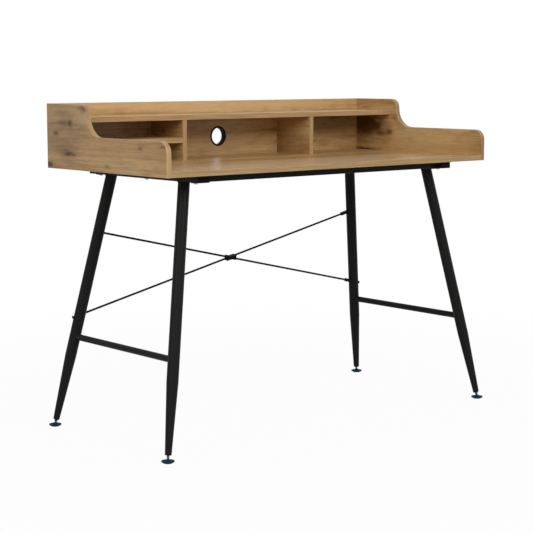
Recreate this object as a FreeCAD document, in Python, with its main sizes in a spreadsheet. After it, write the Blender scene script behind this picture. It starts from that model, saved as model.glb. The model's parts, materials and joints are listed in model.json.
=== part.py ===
"""Office desk: laminated board top with a shelf unit, on a splayed tube frame with screw feet.

Frame: +Z up, +X to the desk's right, +Y to its back. The origin lies on the floor below the
middle of the desk. All lengths are millimetres.
"""
import FreeCAD, Part
import math
import os
import re

import Sketcher
from FreeCAD import Vector

# Driving sizes: name, value, what it measures.
DRIVING = (
    ("desk_width", 1200.0, "outer faces of the side panels"),
    ("desk_depth", 560.0, "front edge of the top to the back face"),
    ("worktop_height", 755.0, "floor to the working surface"),
    ("upstand_rise", 165.0, "top of the back panel above the working surface"),
    ("board", 15.0, "thickness of every board"),
    ("edge_ease", 1.0, "rounding of the boards' banded edges"),
    ("arm_rise", 77.0, "side panel's low part above the working surface"),
    ("arm_nose", 30.0, "rounding at the front of the side panel"),
    ("crest_radius", 28.0, "rounding where the side panel reaches full height"),
    ("shelf_depth", 155.0, "front edge of the shelves to the back panel"),
    ("shelf_drop", 35.0, "top shelf's surface below the top of the back panel"),
    ("bay_clear", 50.0, "height of the lower pigeonhole"),
    ("divider_place", 245.0, "middle of a divider from the desk's middle"),
    ("cable_hole", 25.0, "inner radius of the cable outlet"),
    ("grommet_wall", 1.6, "wall of the outlet's liner"),
    ("grommet_lip", 3.5, "width of the liner's front flange beyond its sleeve"),
    ("grommet_lip_thick", 1.6, "thickness of that flange"),
    ("grommet_gap", 0.2, "liner's play in the back panel"),
    ("bar_height", 20.0, "height of the side bars and rails"),
    ("bar_width", 35.0, "width of the side bars"),
    ("rail_width", 20.0, "width of the rails"),
    ("bar_wall", 1.5, "wall of the bars and rails"),
    ("bar_corner", 2.5, "outer corner radius of their tube"),
    ("bar_inset", 27.0, "end of a side bar from the desk's front or back"),
    ("frame_inset", 139.0, "side bar's middle from the side panel's outer face"),
    ("rail_inset", 60.0, "rail's middle from the desk's front or back"),
    ("tongue", 2.0, "thickness of the rail's end plate"),
    ("tongue_overlap", 20.0, "length of that plate welded under the rail"),
    ("tongue_nose", 10.0, "end of that plate beyond its bolt"),
    ("cap_face", 2.0, "visible thickness of a bar's end cap"),
    ("cap_plug", 10.0, "length of the cap inside the bar"),
    ("cap_gap", 0.15, "cap's play in the bar"),
    ("cap_bevel", 0.8, "bevel of the cap's outer edge"),
    ("leg_radius", 16.0, "leg tube, upper part"),
    ("leg_tip", 9.0, "leg tube, radius at its lower end"),
    ("leg_wall", 1.5, "wall of the leg tube"),
    ("leg_top_plug", 10.0, "solid top of the leg under the bar"),
    ("taper_height", 205.0, "floor to where the leg starts to narrow"),
    ("leg_top_inset", 112.0, "middle of a leg's top from the desk's front or back"),
    ("foot_inset_side", 2.0, "foot's middle from the side panel's outer face"),
    ("foot_inset_end", 10.0, "foot's middle from the desk's front or back"),
    ("stretcher_height", 260.0, "floor to the stretcher's axis"),
    ("stretcher_radius", 9.0, "stretcher tube"),
    ("stretcher_wall", 1.2, "wall of the stretcher tube"),
    ("weld_gap", 0.1, "joint left for the weld at a coped end"),
    ("brace_high", 559.0, "floor to a brace rod's upper end"),
    ("brace_low", 320.0, "floor to a brace rod's lower end"),
    ("rod_radius", 3.0, "brace rod"),
    ("rod_play", 0.3, "radial play of a rod in what it passes through"),
    ("rod_web", 0.4, "material between the two rods where they cross"),
    ("thread_play", 0.05, "radial play drawn in a thread"),
    ("head_radius", 5.0, "head of a rod or brace bolt"),
    ("head_height", 2.8, "height of that head"),
    ("head_rise", 1.9, "part of that height that the head's dome takes"),
    ("adjuster_flat", 5.0, "half the width across flats of the adjusting nut"),
    ("adjuster_length", 24.0, "length of the adjusting nut"),
    ("clamp_half", 17.0, "half the length of the crossing clamp"),
    ("clamp_end", 8.3, "half the height of the clamp at its ends"),
    ("clamp_waist", 4.9, "half the height of the clamp at its middle"),
    ("clamp_skin", 1.0, "clamp's wall in front of a rod"),
    ("seat_gap", 0.3, "air between pieces that seat on each other"),
    ("ball_height", 6.8, "floor to the middle of the foot's ball"),
    ("ball_radius", 4.5, "foot's ball"),
    ("ball_play", 0.3, "radial play of the ball in its socket"),
    ("socket_mouth", 3.0, "socket's mouth above the ball's middle"),
    ("pad_radius", 17.5, "foot pad"),
    ("pad_base", 12.0, "flat that stands on the floor"),
    ("pad_rim_low", 3.6, "lower edge of the pad's rim"),
    ("pad_rim_high", 6.2, "upper edge of the pad's rim"),
    ("pad_crown", 1.0, "rise from the rim to the hub"),
    ("hub_radius", 8.0, "foot of the pad's hub"),
    ("hub_top", 6.2, "hub's radius at the socket's mouth"),
    ("neck_radius", 2.5, "stem between the ball and the collar"),
    ("neck_length", 5.6, "ball's middle to the end of the neck"),
    ("collar_radius", 4.5, "stem's plain collar with two flats"),
    ("collar_cone", 2.0, "length of the cone up to the collar"),
    ("collar_length", 5.2, "length of the collar"),
    ("flat_half", 3.6, "half the width across the collar's flats"),
    ("thread_radius", 4.0, "foot's screw thread"),
    ("thread_length", 26.0, "length of the thread"),
    ("thread_chamfer", 0.8, "chamfer at the end of the thread"),
    ("insert_flange", 2.2, "visible thickness of the leg's end plug"),
    ("insert_length", 30.0, "length of the plug inside the leg"),
    ("insert_gap", 0.15, "plug's play in the leg"),
    ("frame_bolt", 3.0, "bolt between the frame and the top"),
    ("frame_bolt_head", 5.5, "radius of its head"),
    ("frame_bolt_head_height", 3.2, "height of its head"),
    ("frame_bolt_rise", 2.1, "part of that height that the head's dome takes"),
    ("frame_bolt_spare", 2.0, "end of that bolt short of the end of its insert"),
    ("bolt_play", 0.3, "radial play of a bolt in its hole"),
    ("nut_radius", 5.0, "threaded insert in the top"),
    ("nut_cover", 3.0, "board left above that insert"),
    ("hole_play", 0.1, "radial play drawn round dowels, cams and screws"),
    ("hole_end", 0.5, "spare depth at the end of a blind hole"),
    ("cam_radius", 7.5, "cam lock"),
    ("cam_cover", 3.0, "board left above the cam lock"),
    ("cam_setback", 34.0, "cam's middle from the end of its board"),
    ("cam_bolt_thread", 3.0, "cam bolt where it screws into the side panel"),
    ("cam_bolt_bite", 10.0, "depth of that thread"),
    ("cam_bolt_shank", 2.5, "cam bolt's shank"),
    ("cam_bolt_head", 3.2, "cam bolt's head"),
    ("cam_bolt_head_length", 3.0, "length of that head"),
    ("dowel_radius", 4.0, "wood dowel"),
    ("dowel_length", 30.0, "length of a wood dowel"),
    ("dowel_in_face", 10.0, "part of the dowel in the face of a board"),
    ("screw_head", 4.6, "assembly screw's head"),
    ("screw_head_depth", 3.0, "depth of that head"),
    ("screw_shank", 3.4, "screw's plain shank"),
    ("screw_thread", 2.5, "screw's thread"),
    ("screw_length", 46.0, "length of the screw"),
    ("overrun", 2.0, "how far every cut runs past the material"),
)

# Worked-out sizes: name, formula in the driving sizes and in the rows above it.
WORKED = (
    ("half_width", "desk_width / 2"),
    ("desk_height", "worktop_height + upstand_rise"),
    ("inner_half", "half_width - board"),
    ("back", "desk_depth / 2"),
    ("front", "0 - back"),
    ("back_face", "back - board"),
    ("underside", "worktop_height - board"),
    ("arm_top", "worktop_height + arm_rise"),
    ("sweep_radius", "desk_height - arm_top - crest_radius"),
    ("crest_height", "desk_height - crest_radius"),
    ("shelf_front", "back_face - shelf_depth"),
    ("crest_front", "shelf_front - crest_radius"),
    ("shelf_top", "desk_height - shelf_drop"),
    ("shelf_under", "shelf_top - board"),
    ("bay_under", "worktop_height + bay_clear"),
    ("divider_inner", "divider_place - board / 2"),
    ("divider_outer", "divider_place + board / 2"),
    ("outlet_height", "(worktop_height + shelf_under) / 2"),
    ("sleeve_radius", "cable_hole + grommet_wall"),
    ("bar_under", "underside - bar_height"),
    ("bar_middle", "underside - bar_height / 2"),
    ("bore_corner", "bar_corner - bar_wall"),
    ("bar_end", "back - bar_inset - cap_face"),
    ("frame_half", "half_width - frame_inset"),
    ("rail_place", "back - rail_inset"),
    ("rail_half", "frame_half - bar_width / 2"),
    ("leg_top_place", "back - leg_top_inset"),
    ("foot_x", "half_width - foot_inset_side"),
    ("foot_y", "back - foot_inset_end"),
    ("splay_x", "foot_x - frame_half"),
    ("splay_y", "foot_y - leg_top_place"),
    ("leg_rise", "bar_under - ball_height"),
    ("splay_run", "hypot(splay_x; splay_y)"),
    ("leg_tilt", "atan2(splay_run; leg_rise)"),
    ("leg_slant", "leg_rise / cos(leg_tilt)"),
    ("taper_slant", "(taper_height - ball_height) / cos(leg_tilt)"),
    ("collar_end", "neck_length + collar_cone + collar_length"),
    ("insert_start", "collar_end + seat_gap"),
    ("leg_start", "insert_start + insert_flange"),
    ("stretcher_share", "(stretcher_height - ball_height) / leg_rise"),
    ("stretcher_x", "foot_x - splay_x * stretcher_share"),
    ("stretcher_y", "foot_y - splay_y * stretcher_share"),
    ("high_share", "(brace_high - ball_height) / leg_rise"),
    ("low_share", "(brace_low - ball_height) / leg_rise"),
    ("high_x", "foot_x - splay_x * high_share"),
    ("low_x", "foot_x - splay_x * low_share"),
    ("cross_share", "high_x / (high_x + low_x)"),
    ("cross_height", "brace_high - (brace_high - brace_low) * cross_share"),
    ("cross_y", "foot_y - splay_y * (cross_height - ball_height) / leg_rise"),
    ("brace_tilt", "atan2(splay_y; leg_rise)"),
    ("brace_rise", "(brace_high - brace_low) / cos(brace_tilt)"),
    ("rod_lean", "atan2(brace_rise; high_x + low_x)"),
    ("leg_lean", "atan2(splay_x; leg_rise / cos(brace_tilt))"),
    ("span_high", "high_x / cos(rod_lean)"),
    ("span_low", "low_x / cos(rod_lean)"),
    ("skew_high", "leg_lean - rod_lean"),
    ("skew_low", "leg_lean + rod_lean"),
    ("pass_high", "leg_radius / cos(skew_high) + head_radius * abs(tan(skew_high)) + seat_gap"),
    ("pass_low", "leg_radius / cos(skew_low) + head_radius * abs(tan(skew_low)) + seat_gap"),
    ("rod_offset", "rod_radius + rod_play + rod_web"),
    ("rod_hole", "rod_radius + rod_play"),
    ("head_dome", "(head_radius ^ 2 + head_rise ^ 2) / (2 * head_rise)"),
    ("clamp_thick", "2 * (rod_offset + rod_hole + clamp_skin)"),
    ("adjuster_half", "adjuster_length / 2"),
    ("socket_radius", "ball_radius + ball_play"),
    ("mouth_radius", "sqrt(socket_radius ^ 2 - socket_mouth ^ 2)"),
    ("screw_bite", "screw_length - board"),
    ("dowel_in_edge", "dowel_length - dowel_in_face"),
    ("cam_height", "board / 2"),
    ("cam_depth", "board - cam_cover"),
    ("nut_length", "board - nut_cover"),
    ("frame_bolt_bite", "nut_length - frame_bolt_spare"),
    ("frame_bolt_dome", "(frame_bolt_head ^ 2 + frame_bolt_rise ^ 2) / (2 * frame_bolt_rise)"),
)

SIZE_NAMES = {row[0] for row in DRIVING + WORKED}

# Shares of a board's depth or length at which its fixings stand.
TOP_CAM_SHARES = (0.22, 0.62, 0.82)
SHELF_CAM_SHARES = (0.22, 0.78)
DIVIDER_FIX_SHARES = (0.25, 0.75)
BAY_DOWEL_SHARES = (0.25, 0.75)
BACK_DOWEL_SHARES = (0.22, 0.78)
TOP_SCREW_SHARES = (-0.7, -0.25, 0.25, 0.7)
SHELF_SCREW_SHARES = (-0.7, 0.0, 0.7)
HEXAGON_TURNS = (30, 90, 150, 210, 270, 330)
SAME_PLACE = 0.01
SIDES = (("left", -1), ("right", 1))
ENDS = (("front", -1), ("rear", 1))

document = FreeCAD.newDocument("OfficeDesk")
sheet = document.addObject("Spreadsheet::Sheet", "Sizes")
nodes = []


def fill_sheet():
    """Driving sizes as plain numbers, then the sizes worked out from them."""
    row = 0
    for name, value, meaning in DRIVING:
        row += 1
        sheet.set("A%d" % row, name)
        sheet.set("B%d" % row, str(value))
        sheet.setAlias("B%d" % row, name)
        sheet.set("C%d" % row, meaning)
    for name, formula in WORKED:
        row += 1
        sheet.set("A%d" % row, name)
        sheet.set("B%d" % row, "=" + formula)
        sheet.setAlias("B%d" % row, name)
    document.recompute()


def sized(formula):
    """Point every size named in a formula at its cell."""
    def cell(match):
        word = match.group(0)
        return "Sizes." + word if word in SIZE_NAMES else word
    return re.sub(r"[a-z_][a-z_0-9]*", cell, formula)


def value_of(formula):
    """A formula's value now, as a plain number."""
    result = sheet.evalExpression(sized(formula))
    return float(getattr(result, "Value", result))


def bind(item, path, formula):
    item.setExpression(path, sized(formula))


def new_body(label):
    body = document.addObject("PartDesign::Body", "Body")
    body.Label = label
    return body


def place(item, x="0", y="0", z="0", turn=None):
    """Bind where an object stands and, if asked, how it is turned."""
    spin = turn or "rotation(vector(0; 0; 1); 0)"
    bind(item, "Placement", "placement(vector(%s; %s; %s); %s)" % (x, y, z, spin))


def new_sketch(body, plane, offset="0"):
    """A sketch on one of the body's own planes, shifted along that plane's normal."""
    sketch = body.newObject("Sketcher::SketchObject", "Sketch")
    support = [item for item in body.Origin.OriginFeatures if item.Role == plane]
    sketch.AttachmentSupport = [(support[0], "")]
    sketch.MapMode = "FlatFace"
    if offset != "0":
        bind(sketch, "AttachmentOffset.Base.z", offset)
    return sketch


def pin_point(sketch, geometry, end, across, along):
    """Hold one point of a sketch at a named place."""
    for kind, formula, axis in (("DistanceX", across, -2), ("DistanceY", along, -1)):
        if formula == "0":
            sketch.addConstraint(Sketcher.Constraint("PointOnObject", geometry, end, axis))
            continue
        distance = Sketcher.Constraint(kind, -1, 1, geometry, end, value_of(formula))
        index = sketch.addConstraint(distance)
        bind(sketch, "Constraints[%d]" % index, formula)


def arc_between(start, end, radius, bend):
    """The short arc of a radius from start to end that bends left (1) or right (-1)."""
    chord = end - start
    middle = (start + end) / 2
    side = Vector(-chord.y, chord.x, 0)
    side.normalize()
    reach = math.sqrt(max(radius ** 2 - (chord.Length / 2) ** 2, 0))
    centre = middle + side * reach * bend
    first, last = (start, end) if bend > 0 else (end, start)
    angles = [math.atan2(point.y - centre.y, point.x - centre.x) for point in (first, last)]
    if angles[1] < angles[0]:
        angles[1] += 2 * math.pi
    circle = Part.Circle(centre, Vector(0, 0, 1), radius)
    return Part.ArcOfCircle(circle, angles[0], angles[1])


def outline(sketch, corners):
    """A closed loop. A corner is (across, along), with (radius, bend) after it where an arc leaves it."""
    first = sketch.GeometryCount
    points = [Vector(value_of(corner[0]), value_of(corner[1]), 0) for corner in corners]
    starts = []
    for number, corner in enumerate(corners):
        here = points[number]
        there = points[(number + 1) % len(points)]
        if len(corner) == 2:
            sketch.addGeometry(Part.LineSegment(here, there), False)
            starts.append(1)
        else:
            sketch.addGeometry(arc_between(here, there, value_of(corner[2]), corner[3]), False)
            starts.append(1 if corner[3] > 0 else 2)
    for number in range(len(corners)):
        follower = (number + 1) % len(corners)
        end = 3 - starts[number]
        joined = Sketcher.Constraint("Coincident", first + number, end, first + follower, starts[follower])
        sketch.addConstraint(joined)
    for number, corner in enumerate(corners):
        pin_point(sketch, first + number, starts[number], corner[0], corner[1])
        if len(corner) > 2:
            rounding = Sketcher.Constraint("Radius", first + number, value_of(corner[2]))
            index = sketch.addConstraint(rounding)
            bind(sketch, "Constraints[%d]" % index, corner[2])


def rectangle(sketch, left, right, low, high):
    outline(sketch, ((left, low), (right, low), (right, high), (left, high)))


def rounded_rectangle(sketch, half_across, half_along, corner, across="0", along="0"):
    """A rectangle about a middle point, with rounded corners."""
    flat_across = "(%s - %s)" % (half_across, corner)
    flat_along = "(%s - %s)" % (half_along, corner)
    steps = (
        (-1, flat_across, -1, half_along, False),
        (1, flat_across, -1, half_along, True),
        (1, half_across, -1, flat_along, False),
        (1, half_across, 1, flat_along, True),
        (1, flat_across, 1, half_along, False),
        (-1, flat_across, 1, half_along, True),
        (-1, half_across, 1, flat_along, False),
        (-1, half_across, -1, flat_along, True),
    )
    corners = []
    for side_x, reach_x, side_y, reach_y, rounded in steps:
        point = ("%s + %d * %s" % (across, side_x, reach_x), "%s + %d * %s" % (along, side_y, reach_y))
        corners.append(point + (corner, 1) if rounded else point)
    outline(sketch, corners)


def tube_section(sketch, width, across):
    """Section of a square or flat tube under the top, about its middle."""
    half = "(%s / 2)" % width
    bore = "(%s / 2 - bar_wall)" % width
    rounded_rectangle(sketch, half, "(bar_height / 2)", "bar_corner", across, "bar_middle")
    rounded_rectangle(sketch, bore, "(bar_height / 2 - bar_wall)", "bore_corner", across, "bar_middle")


def circle(sketch, across, along, radius):
    centre = Vector(value_of(across), value_of(along), 0)
    number = sketch.addGeometry(Part.Circle(centre, Vector(0, 0, 1), value_of(radius)), False)
    index = sketch.addConstraint(Sketcher.Constraint("Radius", number, value_of(radius)))
    bind(sketch, "Constraints[%d]" % index, radius)
    pin_point(sketch, number, 3, across, along)


def pad(body, sketch, length, middle=False):
    feature = body.newObject("PartDesign::Pad", "Pad")
    feature.Profile = sketch
    feature.Midplane = middle
    bind(feature, "Length", length)
    document.recompute()
    return feature


def pocket(body, sketch, depth, middle=False):
    """Cut from the sketch against its normal, and make sure that material went."""
    before = body.Shape.Volume
    feature = body.newObject("PartDesign::Pocket", "Pocket")
    feature.Profile = sketch
    feature.Midplane = middle
    bind(feature, "Length", depth)
    document.recompute()
    if not body.Shape.Volume < before:
        raise RuntimeError("a pocket of %s cuts nothing" % body.Label)
    return feature


def revolve(body, corners):
    """Turn a profile of (radius, height) points about the body's own Z."""
    sketch = new_sketch(body, "XZ_Plane")
    outline(sketch, corners)
    feature = body.newObject("PartDesign::Revolution", "Revolution")
    feature.Profile = sketch
    feature.ReferenceAxis = (sketch, ["V_Axis"])
    feature.Angle = 360
    document.recompute()
    return feature


def round_holes(body, plane, offset, centres, radius, depth):
    """Equal blind or through holes, drilled against the plane's normal from the offset."""
    sketch = new_sketch(body, plane, offset)
    for across, along in centres:
        circle(sketch, across, along, radius)
    pocket(body, sketch, depth)


def keeps_to(edge, places):
    """Whether an edge lies wholly at the places named, such as {"Y": "front", "Z": "underside"}."""
    for axis, formula in places.items():
        place_now = value_of(formula)
        ends = (getattr(edge.BoundBox, axis + "Min"), getattr(edge.BoundBox, axis + "Max"))
        if max(abs(end - place_now) for end in ends) > SAME_PLACE:
            return False
    return True


def ease(body, size, lines, kind="Fillet", measure="Radius"):
    """Break the edges that a body has so far at any of the given lines or faces."""
    base = body.Tip
    picked = []
    for number, edge in enumerate(base.Shape.Edges, 1):
        if any(keeps_to(edge, places) for places in lines):
            picked.append("Edge%d" % number)
    if not picked:
        raise RuntimeError("no edge of %s to break" % body.Label)
    feature = body.newObject("PartDesign::" + kind, kind)
    feature.Base = (base, picked)
    bind(feature, measure, size)
    document.recompute()


def keep(item, name):
    """Give an object the name of its node and list it for export."""
    item.Label = name
    nodes.append(item)


def group(name, seeds):
    """One node of separate solids: copies of seed bodies, each at its own place."""
    copies = []
    for seed, x, y, z, turn in seeds:
        copy = document.addObject("App::Link", "Copy")
        copy.LinkedObject = seed
        place(copy, x, y, z, turn)
        copies.append(copy)
    gathered = document.addObject("Part::Compound", "Group")
    gathered.Links = copies
    document.recompute()
    keep(gathered, name)


def cut(base, tools):
    """What is left of a base when the tools are taken away."""
    remover = document.addObject("Part::Compound", "Tools")
    remover.Links = tools
    result = document.addObject("Part::Cut", "Cut")
    result.Base = base
    result.Tool = remover
    document.recompute()
    if not result.Shape.Volume < base.Shape.Volume:
        raise RuntimeError("a tool of %s cuts nothing" % base.Label)
    return result


def between(low, high, share):
    return "(%s + (%s - %s) * %s)" % (low, high, low, share)


# Where the fixings stand.
top_cam_places = [between("front", "back_face", share) for share in TOP_CAM_SHARES]
shelf_cam_places = [between("shelf_front", "back_face", share) for share in SHELF_CAM_SHARES]
divider_fix_places = [between("shelf_front", "back_face", share) for share in DIVIDER_FIX_SHARES]
bay_dowel_places = [between("shelf_front", "back_face", share) for share in BAY_DOWEL_SHARES]
back_dowel_places = [between("worktop_height", "shelf_under", share) for share in BACK_DOWEL_SHARES]
top_screw_places = ["inner_half * %s" % share for share in TOP_SCREW_SHARES]
shelf_screw_places = ["inner_half * %s" % share for share in SHELF_SCREW_SHARES]
top_middle = "(underside + board / 2)"
shelf_middle = "(shelf_under + board / 2)"
bay_middle = "(bay_under + board / 2)"
back_middle = "(back_face + board / 2)"
frame_bolt_places = [(side, end) for side in (-1, 1) for end in (-1, 0, 1)]


def make_side_panel(name, side):
    """Low arm beside the working surface, sweeping up to full height at the shelves."""
    body = new_body(name)
    sketch = new_sketch(body, "YZ_Plane", "inner_half" if side > 0 else "0 - half_width")
    outline(sketch, (
        ("front", "underside"),
        ("back", "underside"),
        ("back", "desk_height"),
        ("shelf_front", "desk_height", "crest_radius", 1),
        ("crest_front", "crest_height", "sweep_radius", -1),
        ("crest_front - sweep_radius", "arm_top"),
        ("front + arm_nose", "arm_top", "arm_nose", 1),
        ("front", "arm_top - arm_nose"),
    ))
    pad(body, sketch, "board")
    ease(body, "edge_ease", ({"X": "%d * inner_half" % side}, {"X": "%d * half_width" % side}))
    cam_bolts = [(y, top_middle) for y in top_cam_places]
    cam_bolts += [(y, shelf_middle) for y in shelf_cam_places]
    dowels = [(back_middle, z) for z in back_dowel_places]
    if side < 0:
        dowels += [(y, bay_middle) for y in bay_dowel_places]
    for centres, radius, bite in (
        (cam_bolts, "cam_bolt_thread + hole_play", "cam_bolt_bite"),
        (dowels, "dowel_radius + hole_play", "dowel_in_face"),
    ):
        if side > 0:
            start = "inner_half + %s + hole_end" % bite
        else:
            start = "overrun - inner_half"
        round_holes(body, "YZ_Plane", start, centres, radius, bite + " + hole_end + overrun")
    keep(body, name)


def drill_cam_seats(body, places, middle, low):
    """Edge channels at both ends of a board, and the cams' seats in its underside."""
    channel = [(y, middle) for y in places]
    length = "cam_setback"
    radius = "cam_bolt_head + bolt_play"
    round_holes(body, "YZ_Plane", "inner_half + overrun", channel, radius, length + " + overrun")
    round_holes(body, "YZ_Plane", "cam_setback - inner_half", channel, radius, length + " + overrun")
    seats = []
    for side in (-1, 1):
        for y in places:
            seats.append(("%d * (inner_half - cam_setback)" % side, y))
    start = "%s + cam_depth + hole_end" % low
    round_holes(body, "XY_Plane", start, seats, "cam_radius + hole_play", "cam_depth + hole_end + overrun")


def make_worktop():
    """The working surface, with all its fixings in its underside and edges."""
    body = new_body("worktop")
    sketch = new_sketch(body, "XY_Plane", "underside")
    rectangle(sketch, "0 - inner_half", "inner_half", "front", "back_face")
    pad(body, sketch, "board")
    ease(body, "edge_ease", [{"Y": "front", "Z": z} for z in ("underside", "worktop_height")])
    drill_cam_seats(body, top_cam_places, top_middle, "underside")
    nuts = [("%d * frame_half" % side, "%d * rail_place" % end) for side, end in frame_bolt_places]
    start = "underside + nut_length + hole_end"
    round_holes(body, "XY_Plane", start, nuts, "nut_radius + hole_play", "nut_length + hole_end + overrun")
    screws = [("%d * divider_place" % side, y) for side in (-1, 1) for y in divider_fix_places]
    start = "worktop_height + overrun"
    round_holes(body, "XY_Plane", start, screws, "screw_shank + hole_play", "board + 2 * overrun")
    start = "underside + screw_head_depth + hole_play"
    depth = "screw_head_depth + hole_play + overrun"
    round_holes(body, "XY_Plane", start, screws, "screw_head + hole_play", depth)
    edge = [(x, top_middle) for x in top_screw_places]
    start = "screw_bite + hole_end - back_face"
    depth = "screw_bite + hole_end + overrun"
    round_holes(body, "XZ_Plane", start, edge, "screw_thread + hole_play", depth)
    keep(body, "worktop")


def make_top_shelf():
    """Shelf over the pigeonholes, below the upstand of the back panel."""
    body = new_body("top_shelf")
    sketch = new_sketch(body, "XY_Plane", "shelf_under")
    rectangle(sketch, "0 - inner_half", "inner_half", "shelf_front", "back_face")
    pad(body, sketch, "board")
    ease(body, "edge_ease", [{"Y": "shelf_front", "Z": z} for z in ("shelf_under", "shelf_top")])
    drill_cam_seats(body, shelf_cam_places, shelf_middle, "shelf_under")
    dowels = [("%d * divider_place" % side, y) for side in (-1, 1) for y in divider_fix_places]
    start = "shelf_under + dowel_in_face + hole_end"
    depth = "dowel_in_face + hole_end + overrun"
    round_holes(body, "XY_Plane", start, dowels, "dowel_radius + hole_play", depth)
    edge = [(x, shelf_middle) for x in shelf_screw_places]
    start = "screw_bite + hole_end - back_face"
    depth = "screw_bite + hole_end + overrun"
    round_holes(body, "XZ_Plane", start, edge, "screw_thread + hole_play", depth)
    keep(body, "top_shelf")


def make_back_panel():
    """Back of the shelf unit, with the cable outlet and the screws from behind."""
    body = new_body("back_panel")
    sketch = new_sketch(body, "XZ_Plane", "0 - back")
    rectangle(sketch, "0 - inner_half", "inner_half", "underside", "desk_height")
    pad(body, sketch, "board")
    top_edges = [{"Y": y, "Z": "desk_height"} for y in ("back_face", "back")]
    ease(body, "edge_ease", top_edges + [{"Y": "back", "Z": "underside"}])
    outlet = [("0", "outlet_height")]
    start = "overrun - back_face"
    round_holes(body, "XZ_Plane", start, outlet, "sleeve_radius + grommet_gap", "board + 2 * overrun")
    screws = [(x, top_middle) for x in top_screw_places]
    screws += [(x, shelf_middle) for x in shelf_screw_places]
    round_holes(body, "XZ_Plane", start, screws, "screw_shank + hole_play", "board + 2 * overrun")
    start = "screw_head_depth + hole_play - back"
    depth = "screw_head_depth + hole_play + overrun"
    round_holes(body, "XZ_Plane", start, screws, "screw_head + hole_play", depth)
    dowels = [(back_middle, z) for z in back_dowel_places]
    depth = "dowel_in_edge + hole_end + overrun"
    round_holes(body, "YZ_Plane", "inner_half + overrun", dowels, "dowel_radius + hole_play", depth)
    start = "dowel_in_edge + hole_end - inner_half"
    round_holes(body, "YZ_Plane", start, dowels, "dowel_radius + hole_play", depth)
    keep(body, "back_panel")


def make_divider(name, side):
    """Upright between two bays, screwed from below and dowelled to the top shelf."""
    body = new_body(name)
    sketch = new_sketch(body, "XY_Plane", "worktop_height")
    faces = ("divider_inner", "divider_outer") if side > 0 else ("0 - divider_outer", "0 - divider_inner")
    rectangle(sketch, *faces, "shelf_front", "back_face")
    pad(body, sketch, "shelf_under - worktop_height")
    ease(body, "edge_ease", [{"X": x, "Y": "shelf_front"} for x in faces])
    holes = [("%d * divider_place" % side, y) for y in divider_fix_places]
    start = "worktop_height + screw_bite + hole_end"
    depth = "screw_bite + hole_end + overrun"
    round_holes(body, "XY_Plane", start, holes, "screw_thread + hole_play", depth)
    depth = "dowel_in_edge + hole_end + overrun"
    round_holes(body, "XY_Plane", "shelf_under + overrun", holes, "dowel_radius + hole_play", depth)
    if side < 0:
        dowels = [(y, bay_middle) for y in bay_dowel_places]
        start = "dowel_in_face + hole_end - divider_outer"
        depth = "dowel_in_face + hole_end + overrun"
        round_holes(body, "YZ_Plane", start, dowels, "dowel_radius + hole_play", depth)
    keep(body, name)


def make_bay_shelf():
    """Middle shelf of the left bay, held on four dowels."""
    body = new_body("left_bay_shelf")
    sketch = new_sketch(body, "XY_Plane", "bay_under")
    rectangle(sketch, "0 - inner_half", "0 - divider_outer", "shelf_front", "back_face")
    pad(body, sketch, "board")
    ease(body, "edge_ease", [{"Y": "shelf_front", "Z": z} for z in ("bay_under", "bay_under + board")])
    dowels = [(y, bay_middle) for y in bay_dowel_places]
    depth = "dowel_in_edge + hole_end + overrun"
    radius = "dowel_radius + hole_play"
    round_holes(body, "YZ_Plane", "overrun - divider_outer", dowels, radius, depth)
    round_holes(body, "YZ_Plane", "dowel_in_edge + hole_end - inner_half", dowels, radius, depth)
    keep(body, "left_bay_shelf")


def make_grommet():
    """Round plastic liner of the cable outlet: a sleeve with a front flange."""
    body = new_body("cable_grommet")
    revolve(body, (
        ("cable_hole", "0 - board"),
        ("sleeve_radius", "0 - board"),
        ("sleeve_radius", "0"),
        ("sleeve_radius + grommet_lip", "0"),
        ("sleeve_radius + grommet_lip", "grommet_lip_thick / 2"),
        ("sleeve_radius + grommet_lip - grommet_lip_thick / 2", "grommet_lip_thick"),
        ("cable_hole", "grommet_lip_thick"),
    ))
    place(body, "0", "back_face", "outlet_height", "rotation(vector(1; 0; 0); 90)")
    keep(body, "cable_grommet")


def make_side_bar(name, side):
    """Flat tube under the top, from front to back, that the legs are welded to."""
    body = new_body(name)
    sketch = new_sketch(body, "XZ_Plane")
    middle = "%d * frame_half" % side
    tube_section(sketch, "bar_width", middle)
    pad(body, sketch, "2 * bar_end", True)
    bolts = [(middle, "%d * rail_place" % end) for end in (-1, 0, 1)]
    depth = "bar_height + 2 * overrun"
    round_holes(body, "XY_Plane", "underside + overrun", bolts, "frame_bolt + bolt_play", depth)
    keep(body, name)


def make_rail(name, end):
    """Square tube across the desk, with a bolted plate under each side bar."""
    body = new_body(name)
    sketch = new_sketch(body, "YZ_Plane")
    middle = "%d * rail_place" % end
    tube_section(sketch, "rail_width", middle)
    pad(body, sketch, "2 * rail_half", True)
    plates = new_sketch(body, "XY_Plane", "bar_under - tongue")
    low = middle + " - rail_width / 2"
    high = middle + " + rail_width / 2"
    rectangle(plates, "rail_half - tongue_overlap", "frame_half + tongue_nose", low, high)
    rectangle(plates, "0 - frame_half - tongue_nose", "tongue_overlap - rail_half", low, high)
    pad(body, plates, "tongue")
    bolts = [("%d * frame_half" % side, middle) for side in (-1, 1)]
    depth = "tongue + 2 * overrun"
    round_holes(body, "XY_Plane", "bar_under + overrun", bolts, "frame_bolt + bolt_play", depth)
    keep(body, name)


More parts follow.
